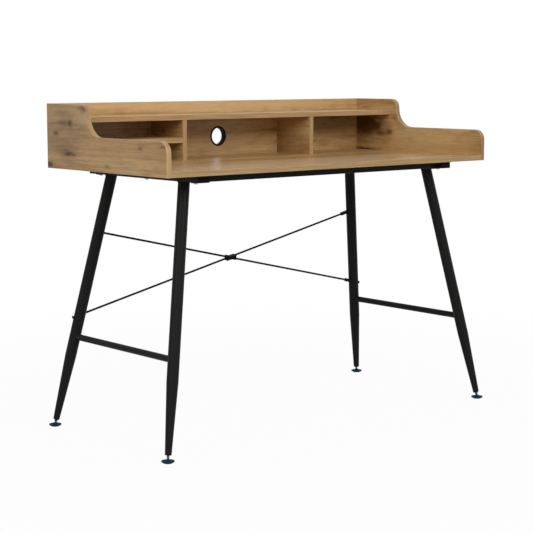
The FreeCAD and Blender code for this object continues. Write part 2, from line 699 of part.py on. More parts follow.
def make_end_caps():
    """Moulded plugs that close the side bars."""
    seed = new_body("end_cap_seed")
    face = new_sketch(seed, "XY_Plane")
    rounded_rectangle(face, "bar_width / 2", "(bar_height / 2)", "bar_corner")
    pad(seed, face, "cap_face")
    ease(seed, "cap_bevel", [{"Z": "cap_face"}], "Chamfer", "Size")
    plug = new_sketch(seed, "XY_Plane", "0 - cap_plug")
    inset = "(bar_wall + cap_gap)"
    half_width = "(bar_width / 2 - %s)" % inset
    half_height = "(bar_height / 2 - %s)" % inset
    rounded_rectangle(plug, half_width, half_height, "bore_corner")
    pad(seed, plug, "cap_plug + cap_face / 2")
    copies = []
    for side in (-1, 1):
        for end in (-1, 1):
            turn = "rotation(vector(1; 0; 0); %d)" % (-90 * end)
            copies.append((seed, "%d * frame_half" % side, "%d * bar_end" % end, "bar_middle", turn))
    group("bar_end_caps", copies)


def leg_turn(side, end):
    """Turn from a leg's own upright axis to its splayed place."""
    heading = "atan2(%d * splay_y; %d * splay_x)" % (end, side)
    return "rotation(vector(0; 0; 1); %s) * rotation(vector(0; -1; 0); leg_tilt)" % heading


def make_leg(name, side, end, hole_tools):
    """Round tube, drawn narrower towards the foot and sawn level under the side bar."""
    body = new_body(name)
    revolve(body, (
        ("leg_tip - leg_wall", "leg_start"),
        ("leg_tip", "leg_start"),
        ("leg_radius", "taper_slant"),
        ("leg_radius", "leg_slant + leg_radius"),
        ("0", "leg_slant + leg_radius"),
        ("0", "leg_slant - leg_top_plug"),
        ("leg_radius - leg_wall", "leg_slant - leg_top_plug"),
        ("leg_radius - leg_wall", "taper_slant"),
    ))
    saw = new_sketch(body, "XZ_Plane")
    reach = "(leg_radius + overrun)"
    fall = "%s * tan(leg_tilt)" % reach
    outline(saw, (
        ("0 - " + reach, "leg_slant + " + fall),
        (reach, "leg_slant - " + fall),
        (reach, "leg_slant + leg_radius + overrun"),
        ("0 - " + reach, "leg_slant + leg_radius + overrun"),
    ))
    pocket(body, saw, "2 * " + reach, True)
    place(body, "%d * foot_x" % side, "%d * foot_y" % end, "ball_height", leg_turn(side, end))
    if hole_tools:
        body.Label = name + "_tube"
        keep(cut(body, hole_tools), name)
    else:
        keep(body, name)


def leg_envelope(side, end):
    """The outside of a leg's upper part, with the weld's joint, for coping what meets it."""
    tube = document.addObject("Part::Cylinder", "Envelope")
    bind(tube, "Radius", "leg_radius + weld_gap")
    bind(tube, "Height", "leg_slant")
    place(tube, "%d * foot_x" % side, "%d * foot_y" % end, "ball_height", leg_turn(side, end))
    return tube


def make_stretcher(name, side):
    """Thin tube between the two legs of a side, coped to both of them."""
    body = new_body(name + "_tube")
    sketch = new_sketch(body, "XZ_Plane")
    middle = "%d * stretcher_x" % side
    circle(sketch, middle, "stretcher_height", "stretcher_radius")
    circle(sketch, middle, "stretcher_height", "stretcher_radius - stretcher_wall")
    pad(body, sketch, "2 * stretcher_y", True)
    keep(cut(body, [leg_envelope(side, end) for end in (-1, 1)]), name)


# Places and turns in the plane of the rear legs, where the brace lies.
brace_turn = "rotation(vector(1; 0; 0); brace_tilt)"


def rod_turn(rising):
    """Turn from upright to along a rod, left to right."""
    lean = "90 deg %s rod_lean" % ("-" if rising else "+")
    return "%s * rotation(vector(0; 1; 0); %s)" % (brace_turn, lean)


def rod_point(rising, run):
    """The point at a run to the right of the crossing on a rod's axis."""
    side = 1 if rising else -1
    shift = "%d * rod_offset" % side
    climb = "%d * (%s) * sin(rod_lean)" % (side, run)
    x = "(%s) * cos(rod_lean)" % run
    y = "cross_y + %s * cos(brace_tilt) - %s * sin(brace_tilt)" % (shift, climb)
    z = "cross_height + %s * sin(brace_tilt) + %s * cos(brace_tilt)" % (shift, climb)
    return x, y, z


def rod_tool(rising):
    """Cutter for the holes that a rod passes through."""
    tool = document.addObject("Part::Cylinder", "RodHole")
    bind(tool, "Radius", "rod_hole")
    bind(tool, "Height", "2 * desk_width")
    place(tool, *rod_point(rising, "0 - desk_width"), rod_turn(rising))
    return tool


def domed_pin(label, reach):
    """Pin with a domed head: the head's underside is at zero and the shank runs up to the reach."""
    body = new_body(label)
    revolve(body, (
        ("0", "0 - head_height", "head_dome", 1),
        ("head_radius", "head_rise - head_height"),
        ("head_radius", "0"),
        ("rod_radius", "0"),
        ("rod_radius", reach),
        ("0", reach),
    ))
    return body


def make_brace(tools):
    """Two crossed rods between the rear legs, each with a head, an adjusting nut and a bolt."""
    nut_seed = new_body("adjuster_seed")
    hexagon = new_sketch(nut_seed, "XY_Plane")
    corner = "adjuster_flat / cos(30)"
    outline(hexagon, [
        ("%s * cos(%d)" % (corner, turn), "%s * sin(%d)" % (corner, turn)) for turn in HEXAGON_TURNS
    ])
    circle(hexagon, "0", "0", "rod_radius + thread_play")
    pad(nut_seed, hexagon, "adjuster_length")
    nuts = []
    bolts = []
    for name, rising in (("brace_rod_falling", False), ("brace_rod_rising", True)):
        start_span, start_pass = ("span_low", "pass_low") if rising else ("span_high", "pass_high")
        end_span, end_pass = ("span_high", "pass_high") if rising else ("span_low", "pass_low")
        inner = "(%s - %s - adjuster_half - seat_gap)" % (end_span, end_pass)
        rod = domed_pin(name, "%s + %s + %s" % (start_span, start_pass, inner))
        place(rod, *rod_point(rising, "0 - %s - %s" % (start_span, start_pass)), rod_turn(rising))
        keep(rod, name)
        nut_place = rod_point(rising, "%s - %s - adjuster_length" % (end_span, end_pass))
        nuts.append((nut_seed, *nut_place, rod_turn(rising)))
        bolt = domed_pin(name + "_bolt_seed", "2 * %s + adjuster_half - seat_gap" % end_pass)
        back_turn = "%s * rotation(vector(1; 0; 0); 180)" % rod_turn(rising)
        bolts.append((bolt, *rod_point(rising, "%s + %s" % (end_span, end_pass)), back_turn))
    group("brace_adjusting_nuts", nuts)
    group("brace_bolts", bolts)

    clamp = new_body("clamp_blank")
    sketch = new_sketch(clamp, "XZ_Plane")
    outline(sketch, (
        ("0 - clamp_half", "0 - clamp_end"),
        ("0", "0 - clamp_waist"),
        ("clamp_half", "0 - clamp_end"),
        ("clamp_half", "clamp_end"),
        ("0", "clamp_waist"),
        ("0 - clamp_half", "clamp_end"),
    ))
    pad(clamp, sketch, "clamp_thick", True)
    place(clamp, "0", "cross_y", "cross_height", brace_turn)
    keep(cut(clamp, tools), "brace_cross_clamp")


def make_foot(side, end, name):
    """Screw foot: plug in the leg, stem with a ball, and a level pad with its socket."""
    x = "%d * foot_x" % side
    y = "%d * foot_y" % end
    plug = new_body(name + "_leg_insert")
    bore = "thread_radius + thread_play"
    outer = "leg_tip - leg_wall - insert_gap"
    revolve(plug, (
        (bore, "insert_start"),
        ("leg_tip - insert_flange / 2", "insert_start"),
        ("leg_tip", "insert_start + insert_flange / 2"),
        ("leg_tip", "leg_start"),
        (outer, "leg_start"),
        (outer, "leg_start + insert_length"),
        (bore, "leg_start + insert_length"),
    ))
    place(plug, x, y, "ball_height", leg_turn(side, end))
    keep(plug, name + "_leg_insert")

    stem = new_body(name + "_foot_stem")
    thread_end = "(collar_end + thread_length)"
    revolve(stem, (
        ("0", "0 - ball_radius", "ball_radius", 1),
        ("ball_radius", "0", "ball_radius", 1),
        ("neck_radius", "sqrt(ball_radius ^ 2 - neck_radius ^ 2)"),
        ("neck_radius", "neck_length"),
        ("collar_radius", "neck_length + collar_cone"),
        ("collar_radius", "collar_end"),
        ("thread_radius", "collar_end"),
        ("thread_radius", thread_end + " - thread_chamfer"),
        ("thread_radius - thread_chamfer", thread_end),
        ("0", thread_end),
    ))
    flats = new_sketch(stem, "XY_Plane", "collar_end - seat_gap")
    reach = "(collar_radius + overrun)"
    rectangle(flats, "flat_half", reach, "0 - " + reach, reach)
    rectangle(flats, "0 - " + reach, "0 - flat_half", "0 - " + reach, reach)
    pocket(stem, flats, "collar_length - seat_gap")
    place(stem, x, y, "ball_height", leg_turn(side, end))
    keep(stem, name + "_foot_stem")

    pad_body = new_body(name + "_foot_pad")
    mouth = "ball_height + socket_mouth"
    revolve(pad_body, (
        ("0", "0"),
        ("pad_base", "0"),
        ("pad_radius", "pad_rim_low"),
        ("pad_radius", "pad_rim_high"),
        ("hub_radius", "pad_rim_high + pad_crown"),
        ("hub_top", mouth),
        ("mouth_radius", mouth, "socket_radius", -1),
        ("socket_radius", "ball_height", "socket_radius", -1),
        ("0", "ball_height - socket_radius"),
    ))
    place(pad_body, x, y, "0")
    keep(pad_body, name + "_foot_pad")


def make_frame_bolts():
    """Bolts up through the side bars, and the threaded inserts in the top that take them."""
    insert = new_body("threaded_insert_seed")
    revolve(insert, (
        ("frame_bolt + thread_play", "0"),
        ("nut_radius", "0"),
        ("nut_radius", "nut_length"),
        ("frame_bolt + thread_play", "nut_length"),
    ))
    bolts = {}
    for label, plate in (("corner_bolt_seed", "tongue"), ("middle_bolt_seed", "0")):
        seed = new_body(label)
        low = "0 - bar_height - %s" % plate
        revolve(seed, (
            ("0", low + " - frame_bolt_head_height", "frame_bolt_dome", 1),
            ("frame_bolt_head", low + " - frame_bolt_head_height + frame_bolt_rise"),
            ("frame_bolt_head", low),
            ("frame_bolt", low),
            ("frame_bolt", "frame_bolt_bite"),
            ("0", "frame_bolt_bite"),
        ))
        bolts[plate] = seed
    inserts = []
    copies = []
    for side, end in frame_bolt_places:
        spot = ("%d * frame_half" % side, "%d * rail_place" % end, "underside", None)
        inserts.append((insert, *spot))
        copies.append((bolts["tongue" if end else "0"], *spot))
    group("worktop_threaded_inserts", inserts)
    group("frame_bolts", copies)


def make_cam_fittings():
    """Cam locks in the boards' undersides and the bolts that they pull."""
    cam = new_body("cam_seed")
    sketch = new_sketch(cam, "XY_Plane")
    circle(sketch, "0", "0", "cam_radius")
    pad(cam, sketch, "cam_depth")
    slot = new_sketch(cam, "YZ_Plane", "cam_radius + overrun")
    half = "(cam_bolt_head + bolt_play)"
    rectangle(slot, "0 - " + half, half, "cam_height - " + half, "cam_height + " + half)
    pocket(cam, slot, "cam_radius + overrun + cam_bolt_head_length")
    bolt = new_body("cam_bolt_seed")
    revolve(bolt, (
        ("0", "0 - cam_bolt_bite"),
        ("cam_bolt_thread", "0 - cam_bolt_bite"),
        ("cam_bolt_thread", "0"),
        ("cam_bolt_shank", "0"),
        ("cam_bolt_shank", "cam_setback - cam_bolt_head_length"),
        ("cam_bolt_head", "cam_setback - cam_bolt_head_length"),
        ("cam_bolt_head", "cam_setback"),
        ("0", "cam_setback"),
    ))
    for board, places, low in (
        ("worktop", top_cam_places, "underside"),
        ("top_shelf", shelf_cam_places, "shelf_under"),
    ):
        cams = []
        bolts = []
        for side in (-1, 1):
            for y in places:
                turn = "rotation(vector(0; 0; 1); %d)" % (0 if side > 0 else 180)
                cams.append((cam, "%d * (inner_half - cam_setback)" % side, y, low, turn))
                turn = "rotation(vector(0; 1; 0); %d)" % (-90 * side)
                bolts.append((bolt, "%d * inner_half" % side, y, low + " + cam_height", turn))
        group(board + "_cam_locks", cams)
        group(board + "_cam_bolts", bolts)


def make_screws():
    """Assembly screws: from behind into the worktop and top shelf, from below into the dividers."""
    seed = new_body("screw_seed")
    revolve(seed, (
        ("0", "0"),
        ("screw_head", "0"),
        ("screw_head", "screw_head_depth"),
        ("screw_shank", "screw_head_depth"),
        ("screw_shank", "board - hole_end"),
        ("screw_thread", "board - hole_end"),
        ("screw_thread", "screw_length"),
        ("0", "screw_length"),
    ))
    forward = "rotation(vector(1; 0; 0); 90)"
    rear = [(seed, x, "back", top_middle, forward) for x in top_screw_places]
    rear += [(seed, x, "back", shelf_middle, forward) for x in shelf_screw_places]
    group("back_panel_screws", rear)
    below = []
    for side in (-1, 1):
        for y in divider_fix_places:
            below.append((seed, "%d * divider_place" % side, y, "underside", None))
    group("divider_screws", below)


def make_dowels():
    """Fluted wood dowels between the boards that have no cam or screw."""
    seed = new_body("dowel_seed")
    sketch = new_sketch(seed, "XY_Plane", "0 - dowel_in_face")
    circle(sketch, "0", "0", "dowel_radius")
    pad(seed, sketch, "dowel_length")
    to_left = "rotation(vector(0; 1; 0); -90)"
    to_right = "rotation(vector(0; 1; 0); 90)"
    back = []
    for z in back_dowel_places:
        back.append((seed, "inner_half", back_middle, z, to_left))
        back.append((seed, "0 - inner_half", back_middle, z, to_right))
    group("back_panel_dowels", back)
    downward = "rotation(vector(1; 0; 0); 180)"
    uprights = []
    for side in (-1, 1):
        for y in divider_fix_places:
            uprights.append((seed, "%d * divider_place" % side, y, "shelf_under", downward))
    group("divider_dowels", uprights)
    bay = []
    for y in bay_dowel_places:
        bay.append((seed, "0 - inner_half", y, bay_middle, to_right))
        bay.append((seed, "0 - divider_outer", y, bay_middle, to_left))
    group("bay_shelf_dowels", bay)


def check_and_write():
    """Stop on any failed object or broken shape, then write one file per node."""
    document.recompute()
    for item in document.Objects:
        if "Invalid" in item.State or "Error" in item.State:
            raise RuntimeError("%s failed: %s" % (item.Label, item.State))
    os.makedirs("parts", exist_ok=True)
    for item in nodes:
        shape = item.Shape
        if shape.isNull() or not shape.isValid() or not shape.Solids:
            raise RuntimeError("%s has no sound shape" % item.Label)
        shape.exportStep("parts/%s.step" % item.Label)
        print("%-26s solids %2d  volume %12.1f" % (item.Label, len(shape.Solids), shape.Volume))


def main():
    fill_sheet()
    make_worktop()
    for name, side in SIDES:
        make_side_panel(name + "_side_panel", side)
    make_back_panel()
    make_top_shelf()
    make_bay_shelf()
    for name, side in SIDES:
        make_divider(name + "_divider", side)
    make_grommet()
    for name, side in SIDES:
        make_side_bar(name + "_top_bar", side)
    for name, end in ENDS:
        make_rail(name + "_rail", end)
    make_end_caps()
    rod_holes = [rod_tool(False), rod_tool(True)]
    for end_name, end in ENDS:
        for side_name, side in SIDES:
            name = "%s_%s" % (end_name, side_name)
            make_leg(name + "_leg", side, end, rod_holes if end > 0 else None)
            make_foot(side, end, name)
    for name, side in SIDES:
        make_stretcher(name + "_stretcher", side)
    make_brace(rod_holes)
    make_frame_bolts()
    make_cam_fittings()
    make_screws()
    make_dowels()
    check_and_write()


main()
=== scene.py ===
"""Looks of an office desk: oak decor boards on a splayed black steel frame with screw feet."""

import json
import math

import bmesh
import bpy
from bpy.props import FloatProperty, FloatVectorProperty, IntProperty, PointerProperty
from bpy.types import Operator, Panel, PropertyGroup
from mathutils import Matrix, Vector

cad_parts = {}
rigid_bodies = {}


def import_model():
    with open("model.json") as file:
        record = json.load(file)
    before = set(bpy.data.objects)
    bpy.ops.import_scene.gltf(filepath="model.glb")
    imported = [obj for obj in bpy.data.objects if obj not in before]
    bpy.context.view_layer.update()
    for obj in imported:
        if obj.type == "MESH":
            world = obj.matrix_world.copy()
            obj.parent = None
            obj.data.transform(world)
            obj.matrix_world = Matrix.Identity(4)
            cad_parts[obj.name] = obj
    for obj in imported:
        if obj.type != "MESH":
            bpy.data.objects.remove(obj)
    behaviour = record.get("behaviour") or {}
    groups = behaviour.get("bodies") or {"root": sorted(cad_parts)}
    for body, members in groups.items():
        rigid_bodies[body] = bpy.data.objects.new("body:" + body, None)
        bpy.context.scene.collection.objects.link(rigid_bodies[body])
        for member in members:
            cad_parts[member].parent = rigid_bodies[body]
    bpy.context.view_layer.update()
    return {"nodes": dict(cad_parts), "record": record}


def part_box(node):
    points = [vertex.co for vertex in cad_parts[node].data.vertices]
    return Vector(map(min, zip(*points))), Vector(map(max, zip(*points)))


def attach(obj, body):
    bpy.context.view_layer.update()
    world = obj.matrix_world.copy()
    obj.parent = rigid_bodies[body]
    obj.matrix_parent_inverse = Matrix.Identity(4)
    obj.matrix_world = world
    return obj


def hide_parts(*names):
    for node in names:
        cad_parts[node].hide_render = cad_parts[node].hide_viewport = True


bl_info = {
    "name": "Office Desk",
    "version": (1, 0, 0),
    "blender": (4, 5, 0),
    "location": "View3D > Sidebar > Desk",
    "description": "Dresses a desk frame with its laminate, coatings, fittings, welds, feet and studio",
    "category": "Object",
}

for leftover in list(bpy.data.objects):
    bpy.data.objects.remove(leftover)
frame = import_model()
cad_slots = {name: node.data.materials[0].name.split(".")[0] for name, node in frame["nodes"].items()}

MM = 0.001
CORNERS = ("front_left", "front_right", "rear_left", "rear_right")
ALONG_X = 0.0
ALONG_Y = math.radians(-90)
SMOOTH_ANGLE = math.radians(35)

# Points this near are one point, lengths this near are alike, and places are told apart to so many decimals
MERGED = 0.001 * MM
NEAR = 0.01 * MM
DECIMALS = 5

# The steps that each kind of turned fitting has round it
CAM_STEPS = 40
SCREW_STEPS = 32
BOLT_STEPS = 40
STEM_STEPS = 48

# Shares of a fastener's head radius
BOLT_SHANK_SHARE = 0.54
SCREW_HEAD_SHARE = 0.65
SCREW_SHANK_SHARE = 0.6

# A board screw's rim starts at this share of its head, and its tip is this many shank radii long
SCREW_RIM = 0.6
SCREW_TIP = 2

# A button head: its rim as a share of its height, its flat as a share of its radius, its dome's steps
BUTTON_RIM = 0.25
BUTTON_FLAT = 0.55
BUTTON_STEPS = 6

# A hexagon socket is turned a little, so that its corners stay clear of the round head's own edges
SOCKET_TURN = math.radians(4)

# The rings that the welds follow, and how far a leg's weld lies under the bar, in shares of the bead
RING_STEPS = 48
RING_TURNS = [math.tau * step / RING_STEPS for step in range(RING_STEPS)]
BEAD_DROP = 0.4

# A bead's path is cut into steps of this share of its ripple, and its width wanders over this length
RIPPLE_STEP = 0.2
WANDER_SIZE = 6.25 * MM

# The studio, in metres: the lights, how far the white floor takes to fade in, and how far the camera sees
LIT_POINT = (0, 0, 0.7)
KEY_PLACE = (-0.4, -3.5, 2.9)
KEY_SIZE = 2.0
FILL_PLACE = (-3.8, -1.0, 2.1)
FILL_SIZE = 1.8
FLOOR_FADE = {"From Min": 0.6, "From Max": 2.6}
FARTHEST_SEEN = 60.0
WHITE = (1.0, 1.0, 1.0, 1.0)

# The print: which way the rings lie in the wood, how deep its arches go, and their noise's detail
ACROSS_GRAIN = (0, 0.55, 0.8)
FIGURE_DEPTH = 1.3
FIGURE_DETAIL = 2.5

# The print's layers of noise: each one's detail, and the levels between which it comes in
LAYERS = {
    "tone": (4.0, 0.3, 0.7),
    "cloud": (4.0, 0.45, 0.75),
    "streak": (3.0, 0.46, 0.7),
    "fibre": (3.0, 0.28, 0.72),
    "pore": (1.0, 0.6, 0.7),
}

# Where a knot's halo, its core and a patch start to fade and where they are gone, in shares of their reach;
# the patches are stains, painted shade and painted light
HALO_FADE = {"From Min": 0.3, "From Max": 2.5}
CORE_FADE = {"From Min": 0.4, "From Max": 1.15}
STAIN_AND_PAINTED_LIGHT_FADE = {"From Min": 0.45, "From Max": 1.15}

# How much the rings swell round a knot, in shares of its width
KNOT_SWELL = 0.8

# A ring is pale again after this share of its width, and it is this strong where the tone is palest
RING_END = 0.62
RING_LEAST = 0.3

# What is printed over the ground, in order: the layer, its strength and the setting with its ink
INKS = (
    ("fibre", 0.4, "ground"),
    ("cloud", 0.42, "grain"),
    ("streak", 0.42, "grain"),
    ("ring", 0.26, "grain"),
    ("halo", 0.55, "grain"),
    ("pore", 0.4, "pore"),
    ("core", 0.95, "knot"),
)

# The cosines to its board's face below which a place is fully banded and above which it isn't banded
EDGE_FADE = {"From Min": 0.55, "From Max": 0.8}

# The levels of its noise between which the banding goes from its pale to its dark colour
BAND_LEVELS = {"From Min": 0.35, "From Max": 0.65}

# How far apart the boards lie in the wood that they are printed from, in metres
BOARD_STEP = (0.37, 0.83, 0.59)

# Each finish's roughness where it is smoothest and where it is roughest, and its relief
RESIN_ROUGHNESS = {"To Min": 0.26, "To Max": 0.36}
RESIN_RELIEF = {"Strength": 0.4, "Distance": 0.05 * MM}
COAT_ROUGHNESS = {"To Min": 0.3, "To Max": 0.42}
COAT_RELIEF = {"Strength": 0.35, "Distance": 0.05 * MM}
PLASTIC_ROUGHNESS = {"To Min": 0.5, "To Max": 0.66}
PLASTIC_RELIEF = {"Strength": 0.3, "Distance": 0.04 * MM}

# A plating's roughness where it is smoothest and where it is roughest, in shares of its own, and its relief
PLATING_SPREAD = {"To Min": 0.8, "To Max": 1.3}
PLATING_RELIEF = {"Strength": 0.2, "Distance": 0.02 * MM}

# Bare beech: its roughness, its relief, and its pale and its dark wood
BEECH_ROUGHNESS = 0.72
BEECH_RELIEF = {"Strength": 0.3, "Distance": 0.05 * MM}
BEECH_INKS = ("#D9B68A", "#B98A5C")

# The levels of their noise between which the coat's paler grains and the beech's flecks come in
SPECK_LEVELS = {"From Min": 0.4, "From Max": 0.75}
FLECK_LEVELS = {"From Min": 0.45, "From Max": 0.7}

# Each board: the way its grain runs, the axis that its face looks along, its knots and its patches, in mm
# Each knot: its place, its length and width, and how dark it is; one is a painted contact shadow
# Each patch: its place, its reach along X, Y and Z, and how much it darkens, or makes paler below nought
# The patches are stains in the print, and painted shade and painted light where the light falls unevenly
BOARDS = {
    "worktop": (
        ALONG_X,
        2,
        (
            (-395, -62, 755, 15, 5, 0.6),
            (318, -176, 755, 18, 6, 0.5),
            (96, 34, 755, 11, 4, 0.4),
            (-150, -210, 755, 12, 4, 0.35),
        ),
        # Painted shade: darkens the whole top a little against the light that falls on it
        ((0, -20, 755, 640, 330, 12, 0.08),),
    ),
    "left_side_panel": (
        ALONG_Y,
        0,
        (
            (-600, 163, 867, 10, 9, 1.0),
            (-600, 198, 868, 30, 5, 0.45),
            (-600, 234, 839, 12, 8, 0.75),
            (-600, 173, 783, 27, 7, 1.0),
            (-600, 186, 793, 22, 4, 0.5),
            (-600, 148, 781, 18, 4, 0.75),
            (-600, -166, 810, 11, 6, 0.65),
            (-600, -262, 818, 16, 3, 0.6),
            (-600, -13, 757, 12, 5, 0.55),
            (-600, 91, 907, 16, 8, 0.45),
            (-600, 271, 751, 20, 10, 0.95),
            (-585, 60, 800, 12, 5, 0.5),
        ),
        (
            (-600, 205, 850, 12, 150, 90, 0.37),
            (-600, 192, 868, 12, 44, 12, 0.22),
            (-600, 95, 905, 12, 36, 12, 0.25),
            (-600, 190, 795, 12, 80, 16, 0.2),
            (-600, 286, 830, 12, 9, 140, 0.5),
            (-592, -282, 780, 14, 9, 70, -0.3),
            (-600, -60, 785, 12, 260, 60, -0.16),
        ),
    ),
    "right_side_panel": (
        ALONG_Y,
        0,
        (
            (585, 111, 815, 17, 9, 0.65),
            (585, 152, 808, 20, 8, 0.45),
            (585, 88, 858, 12, 5, 0.4),
            # Painted contact shadow: a dark line at the panel's foot in the corner with the back panel
            (585, 226, 755, 58, 6, 1.0),
            (600, -120, 790, 18, 8, 0.7),
            (600, 190, 850, 24, 9, 0.85),
            (600, 30, 768, 12, 5, 0.5),
        ),
        (
            # Painted light: paler over the arm's inner face
            (585, -60, 800, 12, 200, 90, -0.35),
            # Painted shade: darker over the inner face in the bay under the top shelf, here and in the next
            # patch
            (585, 222, 836, 12, 78, 44, 1.0),
            (585, 140, 826, 12, 45, 30, 0.45),
            (585, 169, 851, 12, 10, 7, -0.6),
            (592, -282, 780, 14, 9, 70, 0.35),
            (596, -60, 860, 9, 230, 95, 0.45),
        ),
    ),
    "back_panel": (
        ALONG_X,
        1,
        (
            (-330, 280, 800, 22, 9, 0.8),
            (170, 280, 862, 16, 7, 0.7),
            (428, 280, 781, 26, 9, 0.9),
            (395, 265, 786, 10, 5, 0.4),
            (-60, 280, 768, 12, 5, 0.5),
        ),
        (
            # Painted light: paler along the part above the top shelf
            (0, 265, 912, 700, 12, 30, -0.6),
            # Painted shade: darker at the back of the right bay under the top shelf
            (430, 265, 850, 190, 12, 45, 0.42),
            # Painted light: paler low at the back of the middle bay
            (0, 265, 790, 250, 12, 70, -0.25),
        ),
    ),
    "top_shelf": (ALONG_X, 2, ((-240, 190, 885, 9, 4, 0.6), (365, 212, 885, 11, 5, 0.7)), ()),
    "left_bay_shelf": (ALONG_X, 2, ((-470, 172, 820, 8, 4, 0.6),), ()),
    "left_divider": (ALONG_Y, 0, ((-252.5, 205, 838, 8, 4, 0.6),), ()),
    # The right divider's patch is painted light: paler over its face towards the middle bay
    "right_divider": (ALONG_Y, 0, ((252.5, 160, 800, 8, 4, 0.6),), ((245, 190, 820, 12, 95, 75, -0.36),)),
}


def linear(hex_colour):
    """An sRGB hex colour in linear light."""
    shares = [int(hex_colour[at : at + 2], 16) / 255 for at in (1, 3, 5)]
    return tuple(share / 12.92 if share <= 0.04045 else ((share + 0.055) / 1.055) ** 2.4 for share in shares)


def opaque(colour):
    """A colour with its alpha, as a node's socket takes it."""
    return (*colour, 1.0)


def length(name, description, default):
    """A length that a user can change, given in millimetres."""
    return FloatProperty(name=name, description=description, default=default * MM, min=0.0, unit="LENGTH")


def level(name, description, default):
    """A plain number that a user can change."""
    return FloatProperty(name=name, description=description, default=default, min=0.0)


def angle(name, description, default):
    """An angle that a user can change, given in degrees."""
    return FloatProperty(name=name, description=description, default=math.radians(default), subtype="ANGLE")


def colour(name, description, default):
    """A colour that a user can change, given as sRGB hex."""
    return FloatVectorProperty(
        name=name, description=description, default=linear(default), size=3, min=0.0, max=1.0, subtype="COLOR"
    )


class DeskLaminateSettings(PropertyGroup):
    light: colour("Light Oak", "The decor's palest wood", "#CFAD7B")
    ground: colour("Oak", "The decor's ground colour", "#AB8351")
    grain: colour("Grain", "Colour of the growth rings' dark sides", "#75522D")
    pore: colour("Pores", "Colour of the fine open pores", "#5B3F21")
    knot: colour("Knots", "Colour of the knots' cores", "#3A2210")
    band: colour("Edge Band", "Palest colour of the banding on the boards' edges", "#AE9166")
    band_dark: colour("Edge Band Dark", "Darkest colour of the banding", "#93734A")
    ring_width: length("Ring Width", "Growth rings' mean spacing", 8.5)
    tone_width: length("Tone Width", "Width of the broad changes of tone", 90)
    tone_length: length("Tone Length", "Length of the broad changes of tone", 620)
    cloud_width: length("Cloud Width", "Width of the small clouds of tone", 16)
    cloud_length: length("Cloud Length", "Length of the small clouds of tone", 60)
    streak_width: length("Streak Width", "Width of the straight dark streaks", 10)
    streak_length: length("Streak Length", "Length of the straight dark streaks", 320)
    fibre_width: length("Fibre Width", "Width of the fine fibres", 2.3)
    fibre_length: length("Fibre Length", "Length of the fine fibres", 170)
    pore_width: length("Pore Width", "Width of a pore as printed", 0.8)
    pore_length: length("Pore Length", "Length of a pore as printed", 26)
    figure_width: length("Figure Width", "Width of the grain's arches", 118)
    figure_length: length("Figure Length", "Length of the grain's arches", 900)
    ragged: length("Ragged", "How far the knots' outlines wander", 9)
    bend_size: length("Bend Size", "Size of the bends in the knots' outlines", 14.3)
    band_length: length("Edge Band Length", "Length of the streaks in the banding", 111)
    band_width: length("Edge Band Width", "Width of the streaks in the banding", 1.6)


class DeskFittingSettings(PropertyGroup):
    recess_width: length("Cam Slot", "Width of the cams' crossed slots", 1.7)
    recess_depth: length("Cam Slot Depth", "Depth of the crossed slots", 2.4)
    cam_rim: length("Cam Rim", "Width of the raised rim round a cam's face", 1.0)
    face_depth: length("Cam Face Depth", "How far a cam's face lies under its rim", 0.4)
    screw_socket: length("Screw Socket", "Hexagon socket of the board screws, across flats", 4.0)
    bolt_socket: length("Bolt Socket", "Hexagon socket of the frame bolts, across flats", 3.0)
    socket_depth: length("Socket Depth", "Depth of the hexagon sockets", 1.9)
    ease: length("Ease", "Rounding of the fittings' edges", 0.35)
    turn: angle("Turn", "How far the fittings' slots differ", 180)
    seed: IntProperty(name="Seed", description="Seed of the fittings' turns", default=4, min=0)


class DeskWeldSettings(PropertyGroup):
    bead: length("Bead", "Radius of the weld beads", 1.7)
    ripple_pitch: length("Ripple Pitch", "Spacing of the beads' ripples", 2.2)
    ripple_share: level("Ripple Share", "Ripple as a share of the bead", 0.16)
    wander_share: level("Wander Share", "Uneven width as a share of the bead", 0.3)
    seed: IntProperty(name="Seed", description="Seed of the beads' uneven width", default=11, min=0)


class DeskFootSettings(PropertyGroup):
    pitch: length("Pitch", "Travel of the foot for one turn", 1.25)
    thread_depth: length("Thread Depth", "Height of the thread over its core", 0.68)


class DeskCoatSettings(PropertyGroup):
    steel: colour("Steel Coat", "Powder coat of the frame", "#191A19")
    steel_lit: colour("Steel Coat Light", "Paler grains of the powder coat", "#242522")
    plastic: colour("Plastic", "Moulded black plastic", "#070808")
    plastic_light: colour("Plastic Light", "Paler grains of the moulded plastic", "#101112")
    pad: colour("Foot Pads", "Moulded dark teal plastic", "#032734")
    pad_light: colour("Foot Pads Light", "Paler grains of the pads", "#0A3947")
    peel: length("Peel", "Grain of the powder coat's texture", 1.1)
    gloss_cloud: length("Gloss Clouds", "Size of the soft changes in the powder coat's gloss", 41.7)
    mould_grain: length("Mould Grain", "Grain of the moulds' eroded faces", 0.45)
    mould_cloud: length("Mould Clouds", "Size of the soft changes in the plastics' tint", 6.25)
    skin_grain: length("Skin Grain", "Grain of the zinc's skin", 0.3)
    fleck_length: length("Fleck Length", "Length of the beech's flecks", 8.33)
    fleck_width: length("Fleck Width", "Width of the beech's flecks", 1.11)


